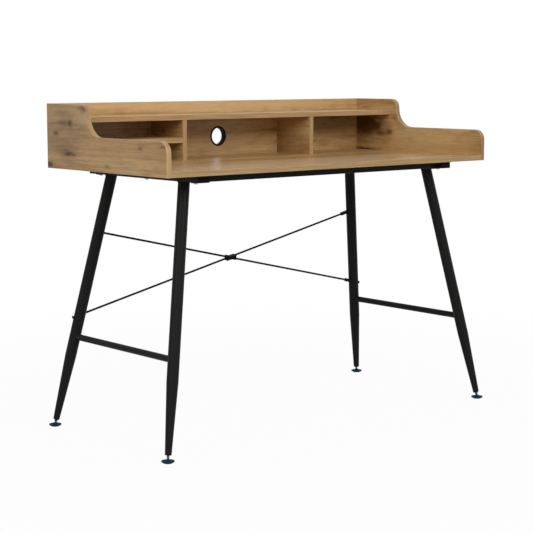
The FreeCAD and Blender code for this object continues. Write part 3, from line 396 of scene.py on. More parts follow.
class DeskStageSettings(PropertyGroup):
    place: FloatVectorProperty(
        name="Camera Place",
        description="Where the camera stands",
        default=(-2.8451, -3.3051, 1.0078),
        unit="LENGTH",
    )
    heading: angle("Heading", "Camera's heading from +Y to +X", 40.406)
    pitch: angle("Pitch", "How far the camera looks down", 7.4586)
    roll: angle("Roll", "Camera's roll", -0.0378)
    lens: level("Lens", "Focal length in millimetres", 100.587)
    key: level("Key Light", "Power of the key light in watts", 105.0)
    fill: level("Fill Light", "Power of the fill light in watts", 46.0)
    surround: level("Surround", "Light of the pale room", 0.42)
    floor_white: level("Floor White", "How white the floor is where it is seen", 0.97)
    floor: colour("Floor", "Colour of the floor as it lights the desk", "#A8A8A6")
    floor_size: length("Floor Size", "Side of the floor", 14000)


def add(tree, kind, inputs=None, **settings):
    """Add a node. Each input is a plain value, a socket that feeds it or a node whose first output does."""
    node = tree.nodes.new(kind)
    for name, value in settings.items():
        setattr(node, name, value)
    for key, value in (inputs or {}).items():
        source = value.outputs[0] if isinstance(value, bpy.types.Node) else value
        if isinstance(source, bpy.types.NodeSocket):
            tree.links.new(source, node.inputs[key])
        else:
            node.inputs[key].default_value = source
    return node


def new_material(name):
    """A material, its node tree and the places of the object that wears it."""
    material = bpy.data.materials.new(name)
    tree = empty_tree(material)
    return material, tree, add(tree, "ShaderNodeTexCoord").outputs["Object"]


def empty_tree(block):
    """The node tree of a material or a world, without the nodes that it comes with."""
    block.use_nodes = True
    block.node_tree.nodes.clear()
    return block.node_tree


def close_surface(tree, looks):
    """End a material's tree with its shader, given the shader's inputs."""
    shader = add(tree, "ShaderNodeBsdfPrincipled", looks)
    add(tree, "ShaderNodeOutputMaterial", {"Surface": shader})


def close_skin(tree, patterns, tints, roughness, relief, looks):
    """End a material whose tint, gloss and height each follow a pattern, and whose other looks are plain."""
    tint, gloss, height = patterns
    low, high = tints
    tones = {0: tint, 6: opaque(low), 7: opaque(high)}
    patterned = {
        "Base Color": add(tree, "ShaderNodeMix", tones, data_type="RGBA").outputs[2],
        "Roughness": add(tree, "ShaderNodeMapRange", {"Value": gloss, **roughness}),
        "Normal": add(tree, "ShaderNodeBump", {"Height": height, **relief}),
    }
    close_surface(tree, {**patterned, **looks})


def drawn_noise(tree, place, long_size, wide, detail):
    """A noise drawn out along the grain."""
    scale = (1 / long_size, 1 / wide, 1 / wide)
    stretched = add(tree, "ShaderNodeVectorMath", {0: place, 1: scale}, operation="MULTIPLY")
    return add(tree, "ShaderNodeTexNoise", {"Vector": stretched, "Scale": 1.0, "Detail": detail})


def patch_distance(tree, place, middle, reach):
    """How far a ragged place lies from a patch's middle, as a share of its reach, both given in mm."""
    mean_wander = bpy.context.scene.desk_laminate.ragged / 2
    centre = [value * MM + mean_wander for value in middle]
    squeeze = [1 / (value * MM) for value in reach]
    offset = add(tree, "ShaderNodeVectorMath", {0: place, 1: centre}, operation="SUBTRACT")
    scaled = add(tree, "ShaderNodeVectorMath", {0: offset, 1: squeeze}, operation="MULTIPLY")
    return add(tree, "ShaderNodeVectorMath", {0: scaled}, operation="LENGTH").outputs["Value"]


def print_layers(tree, place, settings):
    """The print's layers by name, and the field whose level lines are the growth rings."""
    layers = {}
    for name, (detail, low, high) in LAYERS.items():
        sides = (getattr(settings, name + "_length"), getattr(settings, name + "_width"))
        span = {"Value": drawn_noise(tree, place, *sides, detail), "From Min": low, "From Max": high}
        layers[name] = add(tree, "ShaderNodeMapRange", span, interpolation_type="SMOOTHSTEP")
    figure = drawn_noise(tree, place, settings.figure_length, settings.figure_width, FIGURE_DETAIL)
    across = add(tree, "ShaderNodeVectorMath", {0: place, 1: ACROSS_GRAIN}, operation="DOT_PRODUCT")
    arches = {0: figure, 1: settings.figure_width * FIGURE_DEPTH, 2: across.outputs["Value"]}
    return layers, add(tree, "ShaderNodeMath", arches, operation="MULTIPLY_ADD")


def print_knots_and_painted_shade(tree, place, knots_and_painted_shade, long_axis, layers, field):
    """Add the knots' dark cores and browner halos to the layers, and let the rings swell round them; one knot
    is painted shadow.
    """
    core = 0.0
    halo = 0.0
    for x, y, z, long_size, wide, depth in knots_and_painted_shade:
        reach = [wide] * 3
        reach[long_axis] = long_size
        fade = {"Value": patch_distance(tree, place, (x, y, z), reach), "To Min": depth, "To Max": 0.0}
        wide_fade = {**fade, **HALO_FADE}
        near = add(tree, "ShaderNodeMapRange", wide_fade, interpolation_type="SMOOTHERSTEP")
        close_fade = {**fade, **CORE_FADE}
        dark = add(tree, "ShaderNodeMapRange", close_fade, interpolation_type="SMOOTHSTEP")
        swell = {0: near, 1: wide * MM * KNOT_SWELL, 2: field}
        field = add(tree, "ShaderNodeMath", swell, operation="MULTIPLY_ADD")
        core = add(tree, "ShaderNodeMath", {0: core, 1: dark}, operation="MAXIMUM")
        halo = add(tree, "ShaderNodeMath", {0: halo, 1: near}, operation="MAXIMUM")
    layers["core"] = core
    layers["halo"] = halo
    return field


def print_stains_and_painted_light(tree, place, stains_and_painted_light):
    """How much the stains, painted shade and painted light darken a place, or make it paler where negative.
    """
    stain_and_painted_light = 0.0
    for x, y, z, *reach, strength in stains_and_painted_light:
        apart = patch_distance(tree, place, (x, y, z), reach)
        fade = {"Value": apart, **STAIN_AND_PAINTED_LIGHT_FADE, "To Min": strength, "To Max": 0.0}
        patch = add(tree, "ShaderNodeMapRange", fade, interpolation_type="SMOOTHSTEP")
        stain_and_painted_light = add(tree, "ShaderNodeMath", {0: patch, 1: stain_and_painted_light}, operation="ADD")
    return stain_and_painted_light


def print_rings(tree, field, tone, ring_width):
    """The growth rings: each fades slowly from its sharp dark side and is bolder where the tone is dark."""
    rings = add(tree, "ShaderNodeMath", {0: field, 1: ring_width}, operation="DIVIDE")
    part = add(tree, "ShaderNodeMath", {0: rings}, operation="FRACT")
    fade = {"Value": part, "From Min": 0.0, "From Max": RING_END, "To Min": 1.0, "To Max": 0.0}
    ring = add(tree, "ShaderNodeMapRange", fade, interpolation_type="SMOOTHSTEP")
    bold = add(tree, "ShaderNodeMapRange", {"Value": tone, "To Min": RING_LEAST, "To Max": 1.0})
    return add(tree, "ShaderNodeMath", {0: ring, 1: bold}, operation="MULTIPLY")


def edge_banding(tree, place, face_axis, wood, settings):
    """The wood with a band on each of its board's edges, whose print is drawn out along the edge."""
    facing = [0.0, 0.0, 0.0]
    facing[face_axis] = 1.0
    normal = add(tree, "ShaderNodeTexCoord").outputs["Normal"]
    tilt = add(tree, "ShaderNodeVectorMath", {0: normal, 1: facing}, operation="DOT_PRODUCT").outputs["Value"]
    flat = add(tree, "ShaderNodeMath", {0: tilt}, operation="ABSOLUTE")
    fade = {"Value": flat, **EDGE_FADE, "To Min": 1.0, "To Max": 0.0}
    edge = add(tree, "ShaderNodeMapRange", fade)
    scale = [1 / settings.band_length] * 3
    scale[face_axis] = 1 / settings.band_width
    drawn = add(tree, "ShaderNodeVectorMath", {0: place, 1: scale}, operation="MULTIPLY")
    noise = add(tree, "ShaderNodeTexNoise", {"Vector": drawn, "Scale": 1.0, "Detail": 3.0})
    part = add(tree, "ShaderNodeMapRange", {"Value": noise, **BAND_LEVELS})
    tones = {0: part, 6: opaque(settings.band), 7: opaque(settings.band_dark)}
    band = add(tree, "ShaderNodeMix", tones, data_type="RGBA").outputs[2]
    return add(tree, "ShaderNodeMix", {0: edge, 6: wood, 7: band}, data_type="RGBA").outputs[2]


def oak_laminate(board, grain_turn, face_axis, knots_and_painted_shade, stains_and_painted_light, shift):
    """Oak decor paper pressed under melamine resin, with banded edges.

    The print gives arched grain, straight darker streaks, ragged knots drawn out along the grain that the
    rings flow round, browner and paler stains and short dark pores; the pressed resin gives an even satin
    with pores that are barely felt. Some patches are painted shade, some are painted light, and one dark
    line drawn like a knot is a painted contact shadow.
    """
    settings = bpy.context.scene.desk_laminate
    material, tree, place = new_material("knotty_oak_laminate_" + board)
    turning = {"Vector": place, "Location": shift, "Rotation": (0, 0, grain_turn)}
    along_grain = add(tree, "ShaderNodeMapping", turning)
    layers, field = print_layers(tree, along_grain, settings)

    # The outlines of the knots and of the patches (stains, painted shade, painted light) wander, by a noise
    # that is added to the place
    bends = {"Vector": place, "Scale": 1 / settings.bend_size, "Detail": 4.0}
    wander = add(tree, "ShaderNodeTexNoise", bends).outputs["Color"]
    moved = {0: wander, 1: (settings.ragged,) * 3, 2: place}
    ragged_place = add(tree, "ShaderNodeVectorMath", moved, operation="MULTIPLY_ADD")
    long_axis = 0 if grain_turn == ALONG_X else 1
    field = print_knots_and_painted_shade(tree, ragged_place, knots_and_painted_shade, long_axis, layers, field)
    layers["ring"] = print_rings(tree, field, layers["tone"], settings.ring_width)
    # Stains, and patches of painted shade and painted light
    stain_and_painted_light = print_stains_and_painted_light(tree, ragged_place, stains_and_painted_light)

    grounds = {0: layers["tone"], 6: opaque(settings.light), 7: opaque(settings.ground)}
    wood = add(tree, "ShaderNodeMix", grounds, data_type="RGBA").outputs[2]
    for layer, strength, ink in INKS:
        amount = add(tree, "ShaderNodeMath", {0: layers[layer], 1: strength}, operation="MULTIPLY")
        inked = {0: amount, 6: wood, 7: opaque(getattr(settings, ink))}
        wood = add(tree, "ShaderNodeMix", inked, data_type="RGBA").outputs[2]
    surface = edge_banding(tree, place, face_axis, wood, settings)
    # Patches above nought darken towards the pore colour and those below pale towards the light oak: stains,
    # painted shade and painted light
    for sign, ink in ((1.0, settings.pore), (-1.0, settings.light)):
        share = {0: stain_and_painted_light, 1: sign}
        amount = add(tree, "ShaderNodeMath", share, operation="MULTIPLY", use_clamp=True)
        patched = {0: amount, 6: surface, 7: opaque(ink)}
        surface = add(tree, "ShaderNodeMix", patched, data_type="RGBA").outputs[2]

    raised = {0: layers["fibre"], 1: layers["pore"]}
    height = add(tree, "ShaderNodeMath", raised, operation="SUBTRACT")
    looks = {
        "Base Color": surface,
        "Roughness": add(tree, "ShaderNodeMapRange", {"Value": layers["fibre"], **RESIN_ROUGHNESS}),
        "Normal": add(tree, "ShaderNodeBump", {"Height": height, **RESIN_RELIEF}),
        "IOR": 1.5,
        "Specular IOR Level": 0.27,
    }
    close_surface(tree, looks)
    return material


def powder_coat(name, dark, light):
    """Polyester powder baked on steel: near black, half matt, its faint orange peel spreads the light."""
    settings = bpy.context.scene.desk_coats
    material, tree, place = new_material(name)
    peel = add(tree, "ShaderNodeTexNoise", {"Vector": place, "Scale": 1 / settings.peel, "Detail": 2.0})
    speck = add(tree, "ShaderNodeMapRange", {"Value": peel, **SPECK_LEVELS}, interpolation_type="SMOOTHSTEP")
    clouds = {"Vector": place, "Scale": 1 / settings.gloss_cloud, "Detail": 3.0}
    cloud = add(tree, "ShaderNodeTexNoise", clouds)
    tints = (getattr(settings, dark), getattr(settings, light))
    looks = {"IOR": 1.5, "Specular IOR Level": 0.05}
    close_skin(tree, (speck, cloud, peel), tints, COAT_ROUGHNESS, COAT_RELIEF, looks)
    return material


def moulded_plastic(name, dark, light):
    """Polypropylene from a spark-eroded mould: a fine even grain that keeps it matt."""
    settings = bpy.context.scene.desk_coats
    material, tree, place = new_material(name)
    cells = add(tree, "ShaderNodeTexVoronoi", {"Vector": place, "Scale": 1 / settings.mould_grain})
    clouds = {"Vector": place, "Scale": 1 / settings.mould_cloud, "Detail": 4.0}
    cloud = add(tree, "ShaderNodeTexNoise", clouds)
    tints = (getattr(settings, dark), getattr(settings, light))
    patterns = (cloud, cloud, cells.outputs["Distance"])
    looks = {"IOR": 1.49, "Specular IOR Level": 0.06}
    close_skin(tree, patterns, tints, PLASTIC_ROUGHNESS, PLASTIC_RELIEF, looks)
    return material


def plated_steel(name, first, second, roughness, cloud_size):
    """Plated or cast zinc: a thin bright skin with soft clouds in its tint and its gloss."""
    settings = bpy.context.scene.desk_coats
    material, tree, place = new_material(name)
    clouds = {"Vector": place, "Scale": 1 / (cloud_size * MM), "Detail": 5.0}
    cloud = add(tree, "ShaderNodeTexNoise", clouds)
    skin = add(tree, "ShaderNodeTexNoise", {"Vector": place, "Scale": 1 / settings.skin_grain, "Detail": 1.0})
    tints = (linear(first), linear(second))
    spread = {end: roughness * share for end, share in PLATING_SPREAD.items()}
    close_skin(tree, (cloud, cloud, skin), tints, spread, PLATING_RELIEF, {"Metallic": 1.0})
    return material


def turned_beech(name):
    """Turned beech dowels, unfinished: pale dull wood with short darker flecks along the grain."""
    settings = bpy.context.scene.desk_coats
    material, tree, place = new_material(name)
    noise = drawn_noise(tree, place, settings.fleck_length, settings.fleck_width, 2.0)
    fleck = add(tree, "ShaderNodeMapRange", {"Value": noise, **FLECK_LEVELS})
    pale, dark = (opaque(linear(ink)) for ink in BEECH_INKS)
    looks = {
        "Base Color": add(tree, "ShaderNodeMix", {0: fleck, 6: pale, 7: dark}, data_type="RGBA").outputs[2],
        "Roughness": BEECH_ROUGHNESS,
        "Normal": add(tree, "ShaderNodeBump", {"Height": fleck, **BEECH_RELIEF}),
    }
    close_surface(tree, looks)
    return material


# The finishes that several nodes share
COAT = "black_powder_coat"
BLACK_PLASTIC = "moulded_black_polypropylene"
TEAL_PLASTIC = "moulded_teal_polypropylene"
BRIGHT_ZINC = "blue_zinc_plated_steel"
BLACK_ZINC = "black_zinc_plated_steel"
CAST_ZINC = "die_cast_zinc"
BEECH = "bare_beech"

# How each is made and with what: its two tints, and a metal's roughness and the size of its clouds in mm
FINISHES = {
    # Bars, rails, legs, stretchers and brace: near black and half matt
    COAT: (powder_coat, "steel", "steel_lit"),
    # Outlet liner, plugs and clamp: matt black with a fine grain
    BLACK_PLASTIC: (moulded_plastic, "plastic", "plastic_light"),
    # Foot pads: matt dark teal with the same grain
    TEAL_PLASTIC: (moulded_plastic, "pad", "pad_light"),
    # Screws, bolts and inserts: bright and cold, with a soft sheen
    BRIGHT_ZINC: (plated_steel, "#C3C7CA", "#A9AEB4", 0.3, 5),
    # Foot screws: passivated black, with a cold blue cast
    BLACK_ZINC: (plated_steel, "#4A555C", "#2B3439", 0.34, 4),
    # Cams: die cast, duller than plating, with a grainy skin
    CAST_ZINC: (plated_steel, "#B4B5B3", "#8F918F", 0.46, 2),
    # Dowels: pale bare wood
    BEECH: (turned_beech,),
}


def finish(name):
    """The finish of that name, made the first time it is asked for."""
    maker, *given = FINISHES[name]
    return bpy.data.materials.get(name) or maker(name, *given)


def wear(node, material):
    """Give a CAD node its finish in its own slot."""
    frame["nodes"][node].material_slots[0].material = material


def body_of(node):
    """The body that carries a CAD node."""
    return next(body for body, nodes in frame["record"]["behaviour"]["bodies"].items() if node in nodes)


def scene_object(name, data):
    """A new object of the scene with its mesh, light or camera."""
    made = bpy.data.objects.new(name, data)
    bpy.context.scene.collection.objects.link(made)
    return made


def piece(name, mesh, like, replaced=()):
    """A finished piece that rides where a CAD node rides, and hides the nodes that it replaces."""
    made = scene_object(name, mesh)
    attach(made, body_of(like))
    if replaced:
        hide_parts(*replaced)


def extent(points):
    """The lowest and the highest corner of the box round some points."""
    low = Vector([min(point[axis] for point in points) for axis in range(3)])
    high = Vector([max(point[axis] for point in points) for axis in range(3)])
    return low, high


def solids(node):
    """Each solid of a CAD node as its lowest and highest corner, in the order of their places."""
    merged = bmesh.new()
    merged.from_mesh(frame["nodes"][node].data)
    bmesh.ops.remove_doubles(merged, verts=merged.verts, dist=MERGED)
    left = set(merged.verts)
    boxes = []
    while left:
        island = []
        front = [left.pop()]
        while front:
            vertex = front.pop()
            island.append(vertex.co.copy())
            for link in vertex.link_edges:
                other = link.other_vert(vertex)
                if other in left:
                    left.remove(other)
                    front.append(other)
        boxes.append(extent(island))
    merged.free()
    return sorted(boxes, key=lambda box: tuple(round(value, DECIMALS) for value in box[0]))


def faces_of(boxes, axis, side):
    """Each box's high face on an axis, or its low one for a side of -1: its middle and the way it looks."""
    facing = Vector((0, 0, 0))
    facing[axis] = side
    faces = []
    for low, high in boxes:
        middle = (low + high) / 2
        middle[axis] = high[axis] if side > 0 else low[axis]
        faces.append((middle, facing))
    return faces


def turned(profile, steps):
    """A closed solid turned about Z from (radius, height) points that start and end on the axis."""
    made = bmesh.new()
    rings = []
    for radius, height in profile:
        count = steps if radius > 0 else 1
        ring = []
        for step in range(count):
            turn = math.tau * step / count
            ring.append(made.verts.new((radius * math.cos(turn), radius * math.sin(turn), height)))
        rings.append(ring)
    for low, high in zip(rings, rings[1:]):
        for step in range(steps):
            around = (low[step % len(low)], low[(step + 1) % len(low)])
            back = (high[(step + 1) % len(high)], high[step % len(high)])
            made.faces.new(list(dict.fromkeys(around + back)))
    mesh = bpy.data.meshes.new("turned")
    made.to_mesh(mesh)
    made.free()
    return mesh


def block(sides):
    """A box about the origin, as a cutting tool."""
    made = bmesh.new()
    bmesh.ops.create_cube(made, size=1.0, matrix=Matrix.Diagonal((*sides, 1.0)))
    mesh = bpy.data.meshes.new("block")
    made.to_mesh(mesh)
    made.free()
    return mesh


def plain_mesh(shaped):
    """The evaluated mesh of an object, whose object and modifiers then go."""
    graph = bpy.context.evaluated_depsgraph_get()
    mesh = bpy.data.meshes.new_from_object(shaped.evaluated_get(graph))
    bpy.data.objects.remove(shaped)
    return mesh


def worked(mesh, ease, cuts):
    """A mesh with its sharp edges eased and then the tools' shapes cut out of it."""
    blank = scene_object("blank", mesh)
    if ease:
        bevel = blank.modifiers.new("ease", "BEVEL")
        bevel.width = ease
        bevel.segments = 2
        bevel.limit_method = "ANGLE"
        bevel.angle_limit = SMOOTH_ANGLE
    tools = [scene_object("tool", cut) for cut in cuts]
    for tool in tools:
        taken = blank.modifiers.new("cut", "BOOLEAN")
        taken.operation = "DIFFERENCE"
        taken.object = tool
        taken.solver = "EXACT"
    made = plain_mesh(blank)
    for tool in tools:
        bpy.data.objects.remove(tool)
    made.shade_smooth()
    made.set_sharp_from_angle(angle=SMOOTH_ANGLE)
    made.materials.clear()
    return made


def new_tree(name, sockets):
    """A geometry tree with its finish and other named inputs, each given with its kind."""
    tree = bpy.data.node_groups.new(name, "GeometryNodeTree")
    for label, kind in {"Geometry": "Geometry", **sockets, "Finish": "Material"}.items():
        tree.interface.new_socket(label, in_out="INPUT", socket_type="NodeSocket" + kind)
    tree.interface.new_socket("Geometry", in_out="OUTPUT", socket_type="NodeSocketGeometry")
    return tree, add(tree, "NodeGroupInput").outputs


def end_tree(tree, given, geometry):
    """End a tree as plain geometry in its finish."""
    real = add(tree, "GeometryNodeRealizeInstances", {"Geometry": geometry})
    smooth = add(tree, "GeometryNodeSetShadeSmooth", {"Geometry": real, "Shade Smooth": True})
    coated = add(tree, "GeometryNodeSetMaterial", {"Geometry": smooth, "Material": given["Finish"]})
    add(tree, "NodeGroupOutput", {"Geometry": coated})
    return tree


def grown(tree, mesh, values):
    """The plain mesh that a tree grows from a mesh, with its named inputs set."""
    base = scene_object("base", mesh)
    modifier = base.modifiers.new("growth", "NODES")
    modifier.node_group = tree
    for item in tree.interface.items_tree:
        if item.in_out == "INPUT" and item.name in values:
            modifier[item.identifier] = values[item.name]
    made = plain_mesh(base)
    made.set_sharp_from_angle(angle=SMOOTH_ANGLE)
    return made


def fitting_tree():
    """Copies of a fitting at a mesh's points, each facing its own way and turned about that at random."""
    tree, given = new_tree("fittings_in_place", {"Fitting": "Object", "Turn": "Float", "Seed": "Int"})
    shape = add(tree, "GeometryNodeObjectInfo", {"Object": given["Fitting"]})
    facing = add(tree, "GeometryNodeInputNamedAttribute", {"Name": "facing"}, data_type="FLOAT_VECTOR")
    aligned = add(tree, "FunctionNodeAlignRotationToVector", {"Vector": facing}, axis="Z")
    span = {2: 0.0, 3: given["Turn"], "Seed": given["Seed"]}
    chance = add(tree, "FunctionNodeRandomValue", span, data_type="FLOAT")
    about = add(tree, "ShaderNodeCombineXYZ", {"Z": chance.outputs[1]})
    spun = add(tree, "FunctionNodeEulerToRotation", {"Euler": about})
    both = {"Rotation": aligned, "Rotate By": spun}
    rotation = add(tree, "FunctionNodeRotateRotation", both, rotation_space="LOCAL")
    placed = {"Points": given["Geometry"], "Instance": shape.outputs["Geometry"], "Rotation": rotation}
    copies = add(tree, "GeometryNodeInstanceOnPoints", placed)
    return end_tree(tree, given, copies)


def bead_tree():
    """A weld bead along a path: a round bead whose width ripples at a pitch and wanders a little."""
    sizes = ("Bead Radius", "Ripple Pitch", "Ripple Share", "Wander Share")
    tree, given = new_tree("weld_bead", {**dict.fromkeys(sizes, "Float"), "Seed": "Int"})
    path = add(tree, "GeometryNodeMeshToCurve", {"Mesh": given["Geometry"]})
    finely = {0: given["Ripple Pitch"], 1: RIPPLE_STEP}
    step = add(tree, "ShaderNodeMath", finely, operation="MULTIPLY")
    fine = add(tree, "GeometryNodeResampleCurve", {"Curve": path, "Length": step}, mode="LENGTH")

    # The ripple is a sine of the length along the bead
    along = add(tree, "GeometryNodeSplineParameter").outputs["Length"]
    phase = add(tree, "ShaderNodeMath", {0: along, 1: given["Ripple Pitch"]}, operation="DIVIDE")
    turn = add(tree, "ShaderNodeMath", {0: phase, 1: math.tau}, operation="MULTIPLY")
    wave = add(tree, "ShaderNodeMath", {0: turn}, operation="SINE")
    rippled = {0: wave, 1: given["Ripple Share"], 2: 1.0}
    ripple = add(tree, "ShaderNodeMath", rippled, operation="MULTIPLY_ADD")

    # The width wanders by a noise, which is centred on nought
    place = add(tree, "GeometryNodeInputPosition")
    clouds = {"Vector": place, "W": given["Seed"], "Scale": 1 / WANDER_SIZE}
    uneven = add(tree, "ShaderNodeTexNoise", clouds, noise_dimensions="4D")
    centred = add(tree, "ShaderNodeMath", {0: uneven, 1: 0.5}, operation="SUBTRACT")
    wandered = {0: centred, 1: given["Wander Share"], 2: ripple}
    width = add(tree, "ShaderNodeMath", wandered, operation="MULTIPLY_ADD")
    round_bead = {"Resolution": 10, "Radius": given["Bead Radius"]}
    swept = {
        "Curve": fine,
        "Profile Curve": add(tree, "GeometryNodeCurvePrimitiveCircle", round_bead),
        "Scale": width,
        "Fill Caps": True,
    }
    bead = add(tree, "GeometryNodeCurveToMesh", swept)
    return end_tree(tree, given, bead)


def thread_tree():
    """A rolled thread: a V ridge wound about Z, joined to the core that it stands on."""
    sizes = ("Core Radius", "Thread Depth", "Pitch", "Thread Start", "Thread Length")
    tree, given = new_tree("rolled_thread", dict.fromkeys(sizes, "Float"))
    length_and_pitch = {0: given["Thread Length"], 1: given["Pitch"]}
    turns = add(tree, "ShaderNodeMath", length_and_pitch, operation="DIVIDE")
    winding = {
        "Resolution": 28,
        "Reverse": True,
        "Rotations": turns,
        "Start Radius": given["Core Radius"],
        "End Radius": given["Core Radius"],
        "Height": given["Thread Length"],
    }
    helix = add(tree, "GeometryNodeCurveSpiral", winding)
    upright = add(tree, "GeometryNodeSetCurveNormal", {"Curve": helix}, mode="Z_UP")
    ridge = add(tree, "GeometryNodeCurvePrimitiveCircle", {"Resolution": 4, "Radius": given["Thread Depth"]})
    swept = {"Curve": upright, "Profile Curve": ridge, "Fill Caps": True}
    wound = add(tree, "GeometryNodeCurveToMesh", swept)
    start = add(tree, "ShaderNodeCombineXYZ", {"Z": given["Thread Start"]})
    raised = add(tree, "GeometryNodeTransform", {"Geometry": wound, "Translation": start})
    joined = add(tree, "GeometryNodeJoinGeometry", {"Geometry": given["Geometry"]})
    tree.links.new(raised.outputs["Geometry"], joined.inputs["Geometry"])
    return end_tree(tree, given, joined)


def places_mesh(places):
    """A mesh of loose points, each with the way that its fitting faces: (point, facing) each."""
    mesh = bpy.data.meshes.new("places")
    mesh.from_pydata([tuple(point) for point, facing in places], [], [])
    mesh.attributes.new("facing", "FLOAT_VECTOR", "POINT")
    for item, (point, facing) in zip(mesh.attributes["facing"].data, places):
        item.vector = facing
    return mesh


def rings_mesh(rings):
    """A mesh of edges along closed rings of points."""
    points = []
    edges = []
    for ring in rings:
        first = len(points)
        points.extend(tuple(point) for point in ring)
        edges.extend((first + step, first + (step + 1) % len(ring)) for step in range(len(ring)))
    mesh = bpy.data.meshes.new("rings")
    mesh.from_pydata(points, edges, [])
    return mesh


def fitted(name, node, shape, places, material):
    """Copies of a shape at the places, as one piece that stands for a CAD node."""
    settings = bpy.context.scene.desk_fittings
    model = scene_object("model", shape)
    values = {"Fitting": model, "Turn": settings.turn, "Seed": settings.seed, "Finish": material}
    mesh = grown(fitting_tree(), places_mesh(places), values)
    bpy.data.objects.remove(model)
    piece(name, mesh, node, replaced=(node,))


def hexagon(across_flats, depth):
    """A hexagonal tool that reaches so deep under the origin, its corners off the fittings' own edges."""
    corner = across_flats / math.sqrt(3)
    tool = turned(((0, -depth), (corner, -depth), (corner, depth), (0, depth)), 6)
    tool.transform(Matrix.Rotation(SOCKET_TURN, 4, "Z"))
    return tool


def cam_shape(radius, height):
    """A cam: a drum with a rimmed face at the origin, facing up, and two crossed driver slots."""
    settings = bpy.context.scene.desk_fittings
    inner = radius - settings.cam_rim
    floor = -settings.face_depth
    outline = ((0, -height), (radius, -height), (radius, 0), (inner, 0), (inner, floor), (0, floor))
    slot = (2 * inner - settings.recess_width, settings.recess_width, 2 * settings.recess_depth)
    crossed = (slot[1], slot[0], slot[2])
    return worked(turned(outline, CAM_STEPS), settings.ease / 2, (block(slot), block(crossed)))


def board_screw_shape(head_radius, reach):
    """A flush screw that points down from the origin, with a hexagon socket."""
    settings = bpy.context.scene.desk_fittings
    head_height = head_radius * SCREW_HEAD_SHARE
    shank_radius = head_radius * SCREW_SHANK_SHARE
    outline = (
        (0, -reach),
        (shank_radius, shank_radius * SCREW_TIP - reach),
        (shank_radius, -head_height),
        (head_radius, -head_height * SCREW_RIM),
        (head_radius, 0),
        (0, 0),
    )
    socket = hexagon(settings.screw_socket, settings.socket_depth)
    return worked(turned(outline, SCREW_STEPS), settings.ease, (socket,))


def frame_bolt_shape(head_radius, head_height, reach):
    """A button head bolt whose seat lies at the origin, its head up and its shank down."""
    settings = bpy.context.scene.desk_fittings
    shank_radius = head_radius * BOLT_SHANK_SHARE
    outline = [(0, -reach), (shank_radius, -reach), (shank_radius, 0), (head_radius, 0)]
    rim = head_height * BUTTON_RIM
    for step in range(BUTTON_STEPS + 1):
        turn = math.pi / 2 * step / BUTTON_STEPS
        width = BUTTON_FLAT + (1 - BUTTON_FLAT) * math.cos(turn)
        outline.append((head_radius * width, rim + (head_height - rim) * math.sin(turn)))
    outline.append((0, head_height))
    socket = hexagon(settings.bolt_socket, settings.socket_depth)
    socket.transform(Matrix.Translation((0, 0, head_height)))
    return worked(turned(outline, BOLT_STEPS), 0, (socket,))


def foot_joint(corner):
    """The record's joint that a foot's screw turns on."""
    joints = frame["record"]["behaviour"]["joints"]
    return next(joint for joint in joints if joint["name"] == corner + "_foot_turn")


def leg_line(corner):
    """A leg's sawn top's centre, its direction down the leg and its radius there."""
    leg = frame["nodes"][corner + "_leg"]
    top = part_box(corner + "_leg")[1].z
    rim = [vertex.co for vertex in leg.data.vertices if vertex.co.z > top - NEAR]
    low, high = extent(rim)
    centre = (low + high) / 2
    down = Vector(foot_joint(corner)["axis"]).normalized()
    side = Vector((-down.y, down.x, 0)).normalized()
    radius = max(abs((co - centre).dot(side)) for co in rim)
    return centre, down, radius


def leg_top_ring(corner, bead):
    """The closed ring of points of the weld round a leg's sawn top."""
    centre, down, radius = leg_line(corner)
    lean = Vector((down.x, down.y, 0)).normalized()
    side = Vector((-lean.y, lean.x, 0))
    longest = radius / abs(down.z)
    drop = Vector((0, 0, -bead * BEAD_DROP))
    along = lean * longest
    across = side * radius
    return [centre + drop + along * math.cos(turn) + across * math.sin(turn) for turn in RING_TURNS]


def stretcher_ring(corner, stretcher):
    """The closed ring of points of the weld where a stretcher's end meets its leg."""
    centre, down, leg_radius = leg_line(corner)
    low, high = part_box(stretcher)
    radius = (high.z - low.z) / 2
    middle = (low + high) / 2
    run = Vector((0, 1, 0))
    inward = 1 if centre.y < 0 else -1
    points = []
    for turn in RING_TURNS:
        start = Vector((middle.x + radius * math.cos(turn), 0, middle.z + radius * math.sin(turn)))
        reach = start - centre
        # A line along Y meets the leg's round where this quadratic is nought
        square = 1 - down.y**2
        cross = run.dot(reach) - down.y * down.dot(reach)
        rest = reach.length_squared - down.dot(reach) ** 2 - leg_radius**2
        spread = math.sqrt(cross**2 - square * rest)
        points.append(start + run * ((-cross + inward * spread) / square))
    return points


def screw_measures(mesh):
    """A foot screw's outline up to its collar, and its thread's radius and end, in its own frame."""
    widest = {}
    for vertex in mesh.vertices:
        height = round(vertex.co.z, DECIMALS)
        widest[height] = max(widest.get(height, 0.0), vertex.co.xy.length)
    collar_radius = max(widest.values())
    collar_top = max(height for height, radius in widest.items() if radius > collar_radius - NEAR)
    shank = {height: radius for height, radius in widest.items() if height > collar_top}
    thread_radius = max(shank.values())
    thread_end = max(height for height, radius in shank.items() if radius > thread_radius - NEAR)
    outline = []
    for height, radius in sorted(widest.items()):
        if height <= collar_top:
            outline.append((radius if radius > NEAR else 0.0, height))
    return outline, thread_radius, thread_end, min(shank.values()), max(shank)


